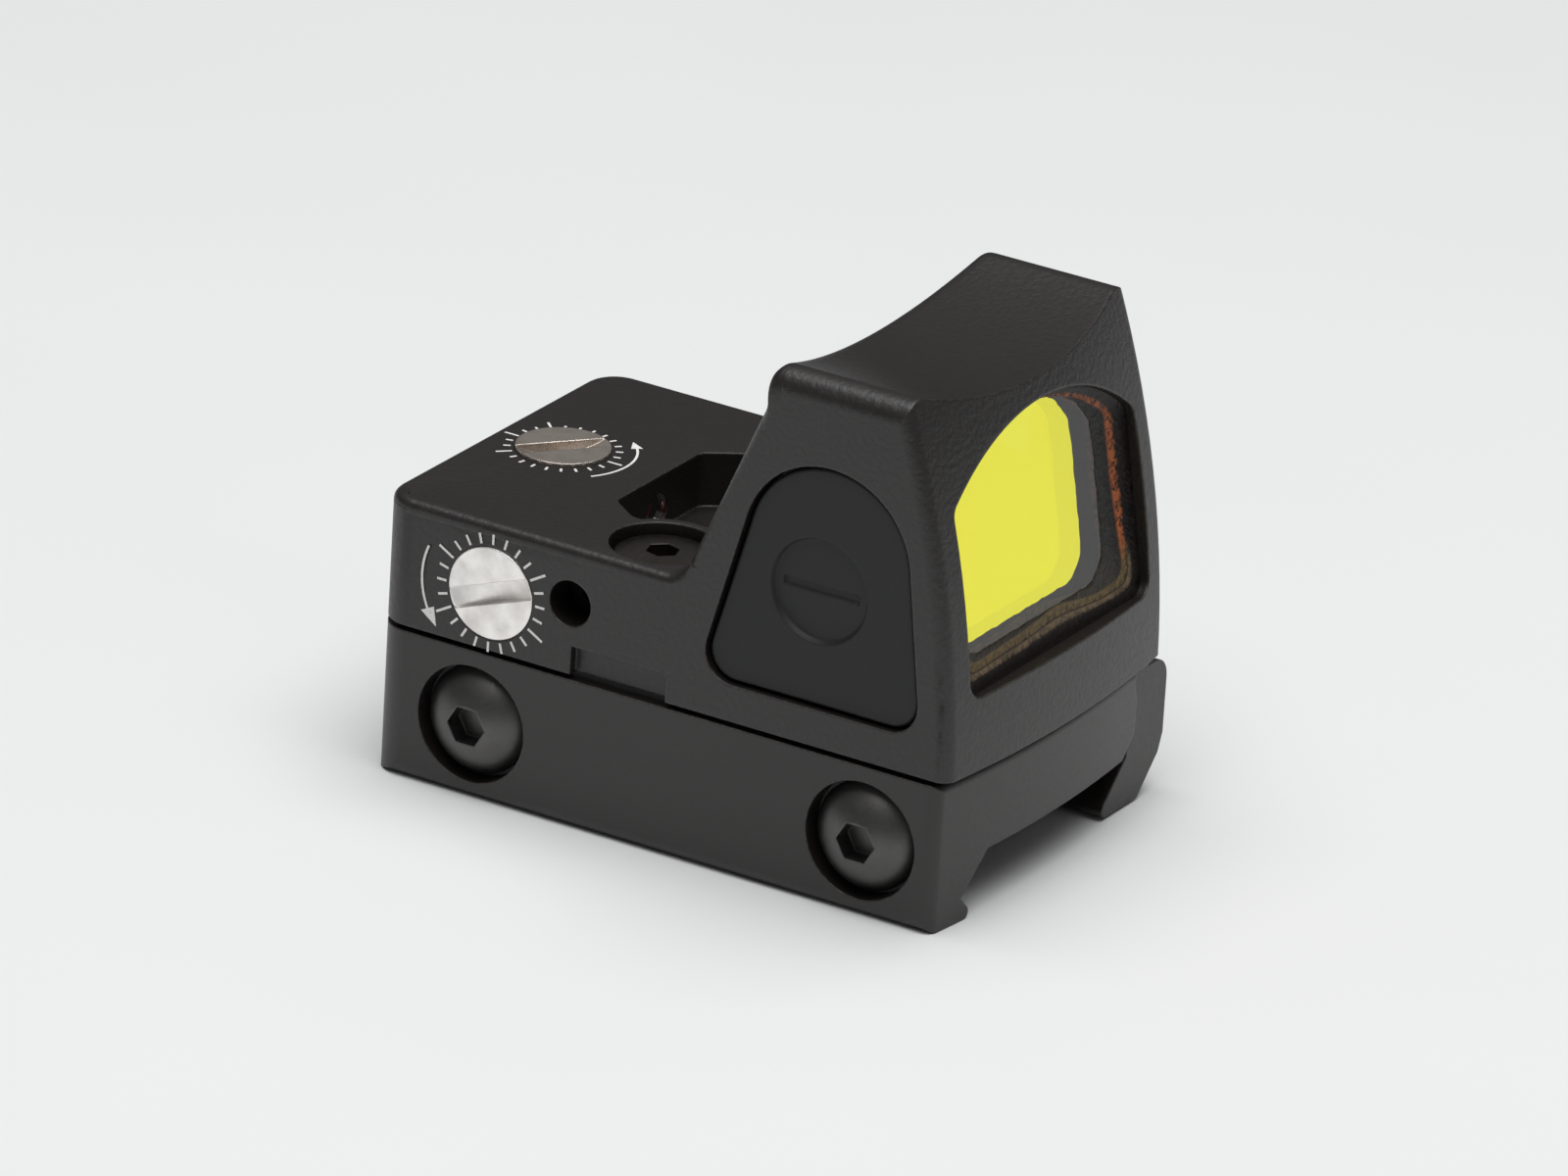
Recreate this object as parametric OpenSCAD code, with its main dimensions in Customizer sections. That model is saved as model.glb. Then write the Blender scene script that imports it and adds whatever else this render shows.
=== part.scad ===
// Small open red-dot sight on a low clamp mount for a 21 mm accessory rail.
// Millimetres. +Y is the aiming direction, +X the shooter's right, +Z up.
// The origin is the middle of the face that seats on top of the rail.

/* [Sight body] */
// Width across the flat sides of the sight and its mount
body_w = 28; // [27:0.5:32]
// Length from the rear face to the middle of the bowed front
body_l = 45; // [44:0.5:50]
// Height of the rear deck above the underside of the housing
deck_h = 8.9; // [8.7:0.1:10.7]
// Height of the hood's two ears above the underside of the housing
hood_h = 25.2; // [24.7:0.5:28.7]
// Radius of the vertical rear corners
corner_r = 2.4; // [1.5:0.1:3.5]
// Radius of the vertical front corners
front_corner_r = 1; // [0.8:0.1:2]
// Radius of the front face seen from above
front_bow_r = 100; // [90:1:200]
// Radius of the front face seen from the side, which leans it back
front_lean_r = 76; // [65:1:110]
// Rounding of the deck's outer edges
deck_edge_r = 0.6; // [0.3:0.1:0.9]

/* [Hood] */
// Position of the hood's rear foot along the body, from its middle
hood_foot_y = 0.6; // [-0.5:0.1:1.2]
// Forward lean of the hood's rear face in degrees
hood_lean = 22.5; // [18:0.1:25]
// Radius of the hollowed top between the ears
hood_hollow_r = 40; // [36:1:60]
// Rounding of the outer edge of each ear
ear_r = 1.5; // [1:0.1:2]
// Rounding of the rear top edge
hood_rear_r = 0.5; // [0.3:0.1:1.5]
// Rounding of the hood's two rear corners
hood_corner_r = 0.9; // [0.7:0.1:3]
// Fillet between the deck and the hood
hood_fillet_r = 1.8; // [1:0.1:2.5]

/* [Window and lens] */
// Width of the window opening
window_w = 23.2; // [21:0.1:23.4]
// Height of the window opening along the lens
window_h = 17.1; // [15:0.1:17.3]
// Radius of the arched top of the window
window_arch_r = 17.9; // [15:0.1:30]
// Radius of the window's bottom corners
window_corner_r = 1.3; // [1:0.1:2]
// Radius of the window's top corners
window_shoulder_r = 1.2; // [0.8:0.1:1.8]
// Height of the middle of the lens seat above the underside of the housing
window_mid_h = 12.7; // [12.5:0.1:13.1]
// Backward tilt of the lens in degrees
lens_tilt = 10; // [6:0.5:12]
// Thickness of the lens
lens_t = 3.4; // [2:0.1:4]
// Depth from the bowed front down to the lens seat at mid height
lens_seat_depth = 5.4; // [4.8:0.1:6]
// Width of the adhesive bead round the lens
bead_w = 0.35; // [0.2:0.05:0.5]
// Width of the shoulder that the lens seats on
lens_shoulder = 0.9; // [0.7:0.1:1.4]

/* [Adjusters] */
// Diameter of the slotted adjuster heads
adjuster_head_d = 6.42; // [5.5:0.02:6.6]
// Height of the adjuster heads
adjuster_head_h = 1.9; // [1.8:0.1:2]
// Diameter of the adjuster shanks
adjuster_shank_d = 2.5; // [2:0.1:2.6]
// Width of the coin slots
coin_slot_w = 1.4; // [0.8:0.1:1.6]
// Depth of the coin slots at mid length
coin_slot_depth = 0.9; // [0.5:0.1:1]
// Distance of the elevation adjuster behind the middle of the body
elevation_y = 17.1; // [16.9:0.1:17.3]
// How far the elevation head stands above the deck
elevation_proud = 0.25; // [0.1:0.05:0.3]
// Turn of the elevation slot from the X axis in degrees
elevation_slot_turn = 140; // [0:5:180]
// Distance of the windage adjuster behind the middle of the body
windage_y = 13.6; // [13.5:0.1:13.7]
// Height of the windage adjuster above the underside of the housing
windage_h = 4.05; // [3.95:0.05:4.2]
// How far the windage head stands out of the side
windage_proud = 0.05; // [0:0.05:0.2]
// Tilt of the windage slot from the horizontal in degrees
windage_slot_turn = 20; // [0:5:180]
// Travel of the emitter each way from the middle
emitter_travel = 0.5; // [0.3:0.05:0.5]

/* [Buttons] */
// Gap all round each rubber button
button_gap = 0.35; // [0.25:0.05:0.5]
// Depth of the button pockets in the sides
button_pocket = 1.6; // [1.5:0.05:1.65]
// How far each button's face lies below the side
button_sink = 0.1; // [0:0.05:0.2]
// Travel of each button
button_travel = 0.45; // [0.3:0.05:0.45]
// Radius of the round finger dish in each button
button_dish_r = 3.55; // [3:0.05:4]
// Depth of the finger dish
button_dish = 0.3; // [0.2:0.05:0.35]

/* [Fasteners] */
// Distance between the two sight screws
sight_screw_pitch = 19.2; // [18.8:0.1:19.4]
// Distance of the sight screws behind the middle of the body
sight_screw_y = 3.3; // [3.2:0.1:3.5]
// Diameter of the sight screw heads
sight_head_d = 6.4; // [5.5:0.1:6.6]
// Height of the sight screw heads
sight_head_h = 1.7; // [1.5:0.1:1.8]
// Diameter of the sight screw shanks
sight_shank_d = 3; // [2.5:0.1:3]
// Distance between the two cross bolts, three slots of the rail
bolt_pitch = 30; // [28:0.1:31]
// Diameter of the cross bolt shanks
bolt_d = 4; // [3.5:0.1:4.2]
// Diameter of the cross bolt heads
bolt_head_d = 7.6; // [7:0.1:7.8]
// Height of the cross bolt heads
bolt_head_h = 2.2; // [1.8:0.1:2.2]
// Width across the flats of the cross bolt sockets
bolt_hex = 2.5; // [2:0.1:3]

/* [Rail clamp] */
// Height of the mount above the rail seat
mount_t = 6.1; // [5.8:0.1:7]
// How far the front of the mount is set back behind the front of the body
mount_setback = 0.65; // [0.2:0.05:1]
// Rounding of the mount's upper front edge
mount_edge_r = 0.6; // [0.3:0.1:1]
// Width of the rail across the edges of its flanks
rail_w = 21.2; // [21:0.05:21.3]
// Width of the top of the rail
rail_top_w = 15.7; // [15.5:0.05:15.9]
// Reach of the jaws below the rail seat
jaw_drop = 4.4; // [4.3:0.1:5]
// Length of the clamp bar
bar_l = 41.2; // [40:0.1:42]
// Thickness of the clamp bar
bar_t = 4.85; // [4.5:0.05:5.5]
// Travel of the clamp bar from closed to open
clamp_travel = 3; // [2:0.1:3]

/* [Battery and circuit] */
// Diameter of the coin cell
battery_d = 20; // [19:0.1:20]
// Thickness of the coin cell
battery_t = 3.2; // [2.5:0.1:3.2]
// Thickness of the circuit board
board_t = 0.6; // [0.4:0.05:0.6]
// Thickness of the seal plate under the housing
plate_t = 0.4; // [0.3:0.05:0.6]

/* [Hidden] */
$fn = 48;
fine_fn = 180;
eps = 0.01;
fit = 0.04;
slip = 0.05;

half_w = body_w / 2;
front_y = body_l / 2;
rear_y = -body_l / 2;
base_z = mount_t + plate_t;
deck_z = base_z + deck_h;
ear_z = base_z + hood_h;

// The front leans about an axis along X, a little below the housing
lean_axis_z = base_z - 1.5;
lean_axis_y = front_y - front_lean_r;

// The arch of the hood's top: the ears are rounded into the hollow
ear_x = half_w - ear_r;
ear_mid_z = ear_z - ear_r;
hollow_z = ear_mid_z + sqrt(pow(hood_hollow_r + ear_r, 2) - ear_x * ear_x);

// The lens seat
lens_seat_z = base_z + window_mid_h;
front_at_seat_y = lean_axis_y + sqrt(pow(front_lean_r, 2) - pow(lens_seat_z - lean_axis_z, 2));
lens_seat_y = front_at_seat_y - lens_seat_depth;
bead_lip = 0.35;
bead_lap = 0.7;

// The open light channel in the deck, from the emitter forward to the lens
channel_z = lens_seat_z - window_h / 2 + lens_shoulder;
channel_rear_y = -9.6;
channel_corner_r = 1;
channel_rear_half = 4.8;
channel_bulge_half = 6;
channel_bulge_y = -7;
channel_wide_y = hood_foot_y + 0.7;
screw_ridge = 0.6;

// Sight screws
sight_x = sight_screw_pitch / 2;
sight_sink = 0.45;
sight_recess_r = sight_head_d / 2 + 0.4;
sight_recess_z = deck_z - sight_sink - sight_head_h;
sight_hole_r = sight_shank_d / 2 + 0.2;
sight_hex = 2;
sight_thread_depth = 4.2;

// Adjusters
adjuster_r = adjuster_head_d / 2;
shank_r = adjuster_shank_d / 2;
washer_t = 0.2;
elevation_top_z = deck_z + elevation_proud;
elevation_floor_z = elevation_top_z - adjuster_head_h - washer_t;
windage_z = base_z + windage_h;
windage_top_x = half_w + windage_proud;
windage_floor_x = windage_top_x - adjuster_head_h - washer_t;
clip_t = 0.4;
clip_r = shank_r + 0.35;
clip_gap = 0.1;
oring_r = 0.35;
oring_depth = adjuster_head_h / 2 + 0.25;

// The cavity for the emitter stage, open at the bottom, with a tower at its front
stage_half = 7;
stage_rear_y = -20.5;
stage_front_y = -10.9;
stage_top_z = elevation_floor_z - 0.9;
tower_half = 2.2;
tower_rear_y = -elevation_y + adjuster_r + 0.7;
tower_top_z = deck_z - 0.9;
emitter_z = tower_top_z - emitter_travel - 1.1;
emitter_r = 0.9;
emitter_window_r = 1.25;
emitter_window_t = 0.8;

// The elevation slide, a nut block with a shelf that carries the emitter block
slide_wall = 0.55;
slide_gap = 0.3;
slide_front_y = -elevation_y + shank_r + slide_wall;
slide_lift = 1;
slide_bottom_z = base_z + slide_lift;
spring_clear = 0.3;
spring_w = 0.6;
spring_gap = 0.02;
slide_top_z = stage_top_z - clip_t - clip_gap - emitter_travel - 0.2;
shelf_t = 0.8;
shelf_top_z = slide_bottom_z + shelf_t;
block_left_x = -4;
block_right_x = 5.6;
block_front_y = stage_front_y - 0.4;
block_bottom_z = shelf_top_z + 0.02;
block_top_z = slide_top_z + 0.1;
nut_mid_x = 3.5;
nut_t = 2.3;
nut_half_y = 1.45;
nut_half_z = 1.4;
windage_tip_x = 1.2;

// Buttons: three round corners of the outline, as [y, z above the housing, radius]
button_corners = [[5.05, 4.7, 2.15], [16.85, 4.7, 2.15], [11.55, 13.15, 6.3]];
button_mid_y = 10.95;
button_mid_z = base_z + 10.65;
pocket_x = half_w - button_pocket;
button_back_x = pocket_x + button_travel + 0.1;
button_face_x = half_w - button_sink;
dome_r = 3;
dome_h = 0.4;
dome_t = 0.15;
flex_t = 0.15;
flex_w = 3;
flex_overlap = 1;
dome_recess = 0.8;
dome_floor_x = pocket_x - dome_recess;
dome_top_x = dome_floor_x + flex_t + dome_h;
plunger_r = 1.2;
plunger_gap = 0.02;
button_sign_l = 5.7;
button_sign_w = 0.6;
button_sign_depth = 0.15;

// Battery, contact and circuit board
battery_y = 6;
battery_r = battery_d / 2;
battery_gap = 0.25;
battery_z = base_z + 0.05;
contact_gap = 0.2;
board_z = battery_z + battery_t + contact_gap;
board_w = 15.6;
board_l = 13.8;
board_gap = 0.3;
chip_w = 4;
chip_t = 0.4;
board_recess_top_z = board_z + board_t + chip_t + 0.1;
flex_z = board_z + board_t + 0.02;
gasket_r = battery_r + battery_gap + 0.8;
gasket_w = 0.6;
gasket_depth = 0.5;

// Small features of the housing
lock_hole_d = 3.2;
lock_hole_depth = 5.2;
lock_y = -7.5;
lock_z = base_z + 4.96;
lock_screw_l = 2.6;
lock_hex = 1.3;
pry_rear_y = -7.25;
pry_front_y = 0.1;
pry_top_z = base_z + 2;
pry_depth = 0.7;
pry_r = 0.6;
pin_r = 1.5;
pin_edge = 5.2;
pin_gasket_gap = 0.62;
pin_depth = 2.5;
pin_rise = 1.9;
pin_x = half_w - pin_edge;
pin_ring_r = gasket_r + gasket_w / 2 + pin_gasket_gap + pin_r;
pin_y = battery_y + sqrt(pow(pin_ring_r, 2) - pin_x * pin_x);
pin_bottom_z = mount_t - pin_depth;
pin_top_z = base_z + pin_rise;
plate_inset = 0.7;

// The rail clamp
flank = (rail_w - rail_top_w) / 2;
rail_gap = 0.1;
jaw_root_x = rail_w / 2 + rail_gap;
seat_edge_x = rail_top_w / 2 + rail_gap;
jaw_tip_r = 0.5;
jaw_tip_x = jaw_root_x + flank - jaw_drop + jaw_tip_r * (1 + sqrt(2));
jaw_tip_z = -jaw_drop + jaw_tip_r;
jaw_foot_r = 1;
flange_t = 0.5;
web_x = -rail_w / 2 - 1;
groove_depth = 0.4;
groove_z = mount_t - 1.2;
groove_foot_z = groove_z - 1.2;
web_foot_z = 1.4;
web_foot_x = web_x + 1.8;
bar_gap = 0.15;
bar_inner_x = web_x - bar_gap;
bar_outer_x = bar_inner_x - bar_t;
bar_top_z = mount_t - flange_t - 0.3;
bar_bottom_z = -jaw_drop + 0.25;
bar_tip_r = 0.5;
bar_tip_x = bar_inner_x + 2.35;
bar_shoulder_r = 1.7;
bar_mid_y = 0;
bolt_mid_y = 0.35;
bolt_z = 0.9;
bolt_gap = 0.32;
bolt_proud = 0.6;
bolt_top_x = half_w + bolt_proud;
bolt_floor_x = bolt_top_x - bolt_head_h;
bolt_tip_x = bar_outer_x + 0.3;
bolt_clear = 0.1;
bolt_y = [bolt_mid_y - bolt_pitch / 2, bolt_mid_y + bolt_pitch / 2];

black = "#3d3b3c";
rubber = "#323232";
steel = "#b9b7b4";

// Outline in plan: round rear corners, straight front at y_end
module rear_plan(inset, y_end) {
  r = corner_r - inset;
  half = half_w - inset;
  y0 = rear_y + inset;
  translate([-half, y0 + r]) square([2 * half, y_end - y0 - r]);
  translate([-half + r, y0]) square([2 * half - 2 * r, 2 * r]);
  for (s = [-1, 1])
    translate([s * (half - r), y0 + r]) circle(r);
}

// Bowed edge with two round corners, tangent to the sides; its middle is at y_mid
module bowed_end(half, y_mid, bow, r, y_from) {
  corner_x = half - r;
  corner_y = y_mid - bow + sqrt(pow(bow - r, 2) - corner_x * corner_x);
  tangent_x = corner_x * bow / (bow - r);
  intersection() {
    translate([0, y_mid - bow]) circle(bow, $fn = 720);
    translate([-tangent_x, y_from]) square([2 * tangent_x, y_mid - y_from + 1]);
  }
  translate([-half, y_from]) square([2 * half, corner_y - y_from]);
  for (s = [-1, 1])
    translate([s * corner_x, corner_y]) circle(r);
}

// Full outline of the mount and the seal plate
module plan_outline(inset = 0) {
  rear_plan(inset, 0);
  edge_y = front_y - mount_setback - inset;
  bowed_end(half_w - inset, edge_y, front_bow_r - inset, front_corner_r - inset, -1);
}

// Point where the outer tangent from circle a to circle b leaves circle a or b
function tangent_side(a, b) =
  let (d = [b[0] - a[0], b[1] - a[1]], l = norm(d), u = d / l, s = (a[2] - b[2]) / l, c = sqrt(1 - s * s))
  [u[0] * s + u[1] * c, u[1] * s - u[0] * c];
function tangent_points(a, b) =
  let (n = tangent_side(a, b))
  [[a[0] + a[2] * n[0], a[1] + a[2] * n[1]], [b[0] + b[2] * n[0], b[1] + b[2] * n[1]]];

// Outline drawn round a ring of circles like a tight belt
module belt_outline(corners, grow) {
  ring = [for (c = corners) [c[0], c[1], c[2] + grow]];
  count = len(ring);
  polygon([for (i = [0 : count - 1]) each tangent_points(ring[i], ring[(i + 1) % count])]);
  for (c = ring)
    translate([c[0], c[1]]) circle(c[2], $fn = 96);
}

// Extrudes a [y, z] outline along X, from x0 to x1
module along_x(x0, x1) {
  translate([x0, 0, 0]) rotate([90, 0, 90]) linear_extrude(x1 - x0) children();
}

// Extrudes an [x, z] outline along Y, from y0 to y1
module along_y(y0, y1) {
  translate([0, y1, 0]) rotate([90, 0, 0]) linear_extrude(y1 - y0) children();
}

// Places parts drawn along +Z so that they lie along +X
module facing_x(x, y, z) {
  translate([x, y, z]) rotate([0, 90, 0]) children();
}

// Window outline about the middle of the lens, grown or shrunk all round
module window_outline(grow = 0) {
  half = window_w / 2 + grow;
  bottom = -window_h / 2 - grow;
  top = window_h / 2 + grow;
  arch = window_arch_r + grow;
  foot = window_corner_r + grow;
  knee = window_shoulder_r + grow;
  arch_y = top - arch;
  knee_x = half - knee;
  knee_y = arch_y + sqrt(pow(arch - knee, 2) - knee_x * knee_x);
  tangent_x = knee_x * arch / (arch - knee);
  translate([-half, bottom + foot]) square([2 * half, knee_y - bottom - foot]);
  translate([-half + foot, bottom]) square([2 * half - 2 * foot, 2 * foot]);
  intersection() {
    translate([0, arch_y]) circle(arch, $fn = fine_fn);
    translate([-tangent_x, knee_y - 1]) square([2 * tangent_x, top - knee_y + 2]);
  }
  for (s = [-1, 1]) {
    translate([s * (half - foot), bottom + foot]) circle(foot);
    translate([s * knee_x, knee_y]) circle(knee);
  }
}

// Frame of the lens: outlines lie on the seat, and +Z leaves through the window
module at_lens() {
  translate([0, lens_seat_y, lens_seat_z]) rotate([lens_tilt - 90, 0, 0]) rotate([0, 0, 180]) children();
}

// Rear part of the housing, with a rounded edge round the deck
module deck_slab() {
  e = deck_edge_r;
  y_end = hood_foot_y + 3;
  edge_z = deck_z - e;
  translate([0, 0, base_z]) linear_extrude(deck_h - e) rear_plan(0, y_end);
  translate([0, 0, base_z]) linear_extrude(deck_h) rear_plan(e, y_end);
  for (s = [-1, 1]) {
    translate([s * (half_w - e), rear_y + corner_r, edge_z]) rotate([-90, 0, 0])
      cylinder(r = e, h = y_end - rear_y - corner_r);
    translate([s * (half_w - corner_r), rear_y + corner_r, edge_z])
      rotate_extrude() translate([corner_r - e, 0]) circle(e);
  }
  translate([0, rear_y + e, edge_z]) rotate([0, 90, 0])
    cylinder(r = e, h = body_w - 2 * corner_r, center = true);
}

// Cross-section of the hood: upright sides, rounded ears and a hollowed top
module hood_section() {
  hollow_edge_x = ear_x * hood_hollow_r / (hood_hollow_r + ear_r);
  difference() {
    union() {
      translate([-half_w, base_z]) square([body_w, ear_mid_z - base_z]);
      translate([-hollow_edge_x, ear_mid_z - 1]) square([2 * hollow_edge_x, ear_r + 1]);
    }
    translate([0, hollow_z]) circle(hood_hollow_r, $fn = 360);
  }
  for (s = [-1, 1])
    translate([s * ear_x, ear_mid_z]) circle(ear_r);
}

// Side outline of the hood: leaning rear face with a rounded top edge
module hood_side() {
  r = hood_rear_r;
  mid_z = ear_z - r;
  foot_y = hood_foot_y - 0.02;
  mid_y = foot_y + (mid_z - deck_z) * tan(hood_lean) + r / cos(hood_lean);
  polygon([
    [foot_y, base_z],
    [foot_y, deck_z],
    [mid_y - r * cos(hood_lean), mid_z + r * sin(hood_lean)],
    [mid_y, ear_z],
    [front_y + 1, ear_z],
    [front_y + 1, base_z]
  ]);
  translate([mid_y, mid_z]) circle(r);
}

// Front of the housing: the bowed outline turned about the lean axis
module leaning_front() {
  inner_r = front_lean_r - front_y - 5;
  translate([0, lean_axis_y, lean_axis_z]) rotate([0, 90, 0]) rotate_extrude($fn = 360)
    rotate(-90) bowed_end(half_w, front_lean_r, front_bow_r, front_corner_r, inner_r);
}

// Leaning prism with the hood's rear face and its two round corners
module leaning_rear() {
  r = hood_corner_r;
  reach = body_l;
  translate([0, hood_foot_y, deck_z]) rotate([-hood_lean, 0, 0]) translate([0, 0, -2 * deck_h])
    linear_extrude(2 * deck_h + 2 * hood_h) {
      translate([-half_w - 1, 4 * r]) square([body_w + 2, reach]);
      translate([-half_w, r]) square([body_w, 4 * r]);
      translate([-half_w + r, 0]) square([body_w - 2 * r, 2 * r]);
      for (s = [-1, 1])
        translate([s * (half_w - r), r]) circle(r);
    }
}

// Hollow fillet between the deck and the hood, which keeps the deck's rounded outer edge
module hood_fillet() {
  r = hood_fillet_r;
  e = deck_edge_r;
  run = r * tan(45 - hood_lean / 2);
  sink = 0.02;
  mid_y = hood_foot_y - run + 1.5 * sink;
  top_z = deck_z + run * cos(hood_lean);
  intersection() {
    along_x(-half_w, half_w) polygon([
      [mid_y, deck_z - e],
      [hood_foot_y + 2, deck_z - e],
      [hood_foot_y + 2, top_z],
      [hood_foot_y + run * sin(hood_lean), top_z],
      [mid_y, deck_z]
    ]);
    translate([0, mid_y, deck_z + r - sink]) rotate([0, 90, 0]) rotate_extrude($fn = 180) {
      translate([r, e - half_w]) square([4 * r, body_w - 2 * e]);
      translate([r + e, -half_w]) square([4 * r, body_w]);
      for (s = [-1, 1])
        translate([r + e, s * (half_w - e)]) circle(e);
    }
  }
}

module hood_block() {
  intersection() {
    leaning_rear();
    along_x(-half_w - 1, half_w + 1) hood_side();
    along_y(-2, front_y + 2) hood_section();
    leaning_front();
  }
}

// Open channel in front of the emitter, kept clear of the sight screw recesses
module channel_plan() {
  difference() {
    belt_outline([
      [-channel_rear_half, channel_rear_y + channel_corner_r, channel_corner_r],
      [channel_rear_half, channel_rear_y + channel_corner_r, channel_corner_r],
      [channel_bulge_half, channel_bulge_y, channel_corner_r],
      [channel_bulge_half, channel_wide_y, channel_corner_r],
      [-channel_bulge_half, channel_wide_y, channel_corner_r],
      [-channel_bulge_half, channel_bulge_y, channel_corner_r]
    ], 0);
    for (s = [-1, 1])
      translate([s * sight_x, -sight_screw_y]) circle(sight_recess_r + screw_ridge);
  }
}

module tunnel() {
  translate([0, 0, channel_z]) linear_extrude(deck_z - channel_z + 1) channel_plan();
  difference() {
    along_y(hood_foot_y - 3, lens_seat_y + 1.5)
      translate([0, lens_seat_z]) window_outline(-lens_shoulder);
    translate([-half_w, hood_foot_y - 4, base_z])
      cube([body_w, channel_wide_y - hood_foot_y + 4, deck_h]);
  }
  at_lens() linear_extrude(lens_seat_depth + 6) window_outline();
}

// Stepped bore for an adjuster, drawn down -Z from the top of its head
module adjuster_bore(top, floor_depth, through) {
  translate([0, 0, -floor_depth]) cylinder(r = adjuster_r + fit, h = floor_depth + top);
  translate([0, 0, -through]) cylinder(r = shank_r + fit, h = through);
}

module stage_cavity() {
  translate([-stage_half, stage_rear_y, base_z - 1])
    cube([2 * stage_half, stage_front_y - stage_rear_y, stage_top_z - base_z + 1]);
  tower_room = tower_half + emitter_travel + 0.3;
  translate([-tower_room, tower_rear_y, base_z])
    cube([2 * tower_room, stage_front_y - tower_rear_y, tower_top_z - base_z]);
  translate([0, stage_front_y - eps, emitter_z]) rotate([-90, 0, 0])
    cylinder(r = emitter_window_r + slip, h = channel_rear_y - stage_front_y + 1);
}

module battery_cavity() {
  translate([0, battery_y, base_z - 1])
    cylinder(r = battery_r + battery_gap, h = board_z - base_z + 1 - 0.05, $fn = fine_fn);
  recess_w = board_w + 2 * board_gap;
  recess_l = board_l + 2 * board_gap;
  translate([-recess_w / 2, battery_y - recess_l / 2, base_z])
    cube([recess_w, recess_l, board_recess_top_z - base_z]);
}

// Pocket for one button on the right side, with the switch recess and the flex slot
module button_pocket_cut() {
  along_x(pocket_x, half_w + 1) translate([0, base_z]) belt_outline(button_corners, 0);
  facing_x(dome_floor_x, button_mid_y, button_mid_z) cylinder(r = dome_r + 0.5, h = dome_recess + 1);
  slot_w = flex_w + 0.3;
  slot_z = flex_z - 0.15;
  slot_h = 0.5;
  translate([dome_floor_x, button_mid_y - slot_w / 2, slot_z])
    cube([dome_recess + 0.5, slot_w, button_mid_z - slot_z]);
  translate([board_w / 2, button_mid_y - slot_w / 2, slot_z])
    cube([dome_floor_x - board_w / 2 + 0.1, slot_w, slot_h]);
}

// Shallow pry recess along the bottom edge of the side
module pry_cut() {
  along_x(half_w - pry_depth, half_w + 1) {
    translate([pry_rear_y, base_z - 1])
      square([pry_front_y - pry_rear_y - pry_r, pry_top_z - base_z + 1]);
    translate([pry_rear_y, base_z - 1])
      square([pry_front_y - pry_rear_y, pry_top_z - base_z + 1 - pry_r]);
    translate([pry_front_y - pry_r, pry_top_z - pry_r]) circle(pry_r);
  }
}

module housing() {
  color(black) difference() {
    union() {
      deck_slab();
      hood_fillet();
      hood_block();
    }
    tunnel();
    stage_cavity();
    battery_cavity();
    translate([0, battery_y, base_z - 1]) difference() {
      cylinder(r = gasket_r + gasket_w / 2, h = 1 + gasket_depth, $fn = fine_fn);
      cylinder(r = gasket_r - gasket_w / 2, h = 3, $fn = fine_fn);
    }
    translate([0, -elevation_y, elevation_top_z])
      adjuster_bore(1, elevation_top_z - elevation_floor_z, elevation_top_z - stage_top_z + 1);
    facing_x(windage_top_x, -windage_y, windage_z)
      adjuster_bore(1, windage_top_x - windage_floor_x, windage_top_x - stage_half + 1);
    facing_x(half_w - lock_hole_depth, lock_y, lock_z) cylinder(d = lock_hole_d, h = lock_hole_depth + 1);
    for (s = [-1, 1]) {
      translate([s * sight_x, -sight_screw_y, sight_recess_z]) cylinder(r = sight_recess_r, h = deck_h);
      translate([s * sight_x, -sight_screw_y, base_z - 1]) cylinder(r = sight_hole_r, h = deck_h);
      translate([s * pin_x, pin_y, base_z - 1]) cylinder(r = pin_r + slip, h = pin_top_z - base_z + 1.2);
    }
    for (side = [0, 1]) mirror([side, 0, 0]) {
      button_pocket_cut();
      pry_cut();
    }
  }
}

module lens() {
  color("#e8e318") at_lens() linear_extrude(lens_t) window_outline(-bead_w);
}

module lens_bead() {
  color("#7a4a1c") at_lens() {
    linear_extrude(lens_t) difference() {
      window_outline(-0.02);
      window_outline(-bead_w + 0.02);
    }
    translate([0, 0, lens_t]) linear_extrude(bead_lip) difference() {
      window_outline(-0.02);
      window_outline(-bead_w - bead_lap);
    }
  }
}

// Slotted captive adjuster, drawn down -Z from the middle of its head
module adjuster(shank_l, slot_turn, clip_depth) {
  scoop_r = (pow(adjuster_r, 2) + pow(coin_slot_depth, 2)) / (2 * coin_slot_depth);
  difference() {
    union() {
      translate([0, 0, -adjuster_head_h]) cylinder(r = adjuster_r, h = adjuster_head_h, $fn = 96);
      translate([0, 0, -shank_l]) cylinder(r = shank_r, h = shank_l);
    }
    rotate(slot_turn) translate([0, 0, scoop_r - coin_slot_depth]) rotate([90, 0, 0])
      cylinder(r = scoop_r, h = coin_slot_w, center = true, $fn = 96);
    translate([0, 0, -oring_depth - oring_r - slip]) difference() {
      cylinder(r = adjuster_r + 1, h = 2 * oring_r + 2 * slip);
      translate([0, 0, -1]) cylinder(r = adjuster_r - 2 * oring_r, h = 4);
    }
    translate([0, 0, -clip_depth - clip_t]) difference() {
      cylinder(r = shank_r + 1, h = clip_t + 0.04);
      translate([0, 0, -1]) cylinder(r = shank_r - 0.3, h = 4);
    }
  }
}

module oring() {
  color("#1c1c1c") translate([0, 0, -oring_depth]) rotate_extrude()
    translate([adjuster_r + 0.01 - oring_r, 0]) circle(oring_r);
}

module click_washer() {
  color(steel) translate([0, 0, -adjuster_head_h - washer_t]) difference() {
    cylinder(r = adjuster_r - 0.3, h = washer_t - 0.03);
    translate([0, 0, -1]) cylinder(r = shank_r + 0.1, h = 2);
  }
}

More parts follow.
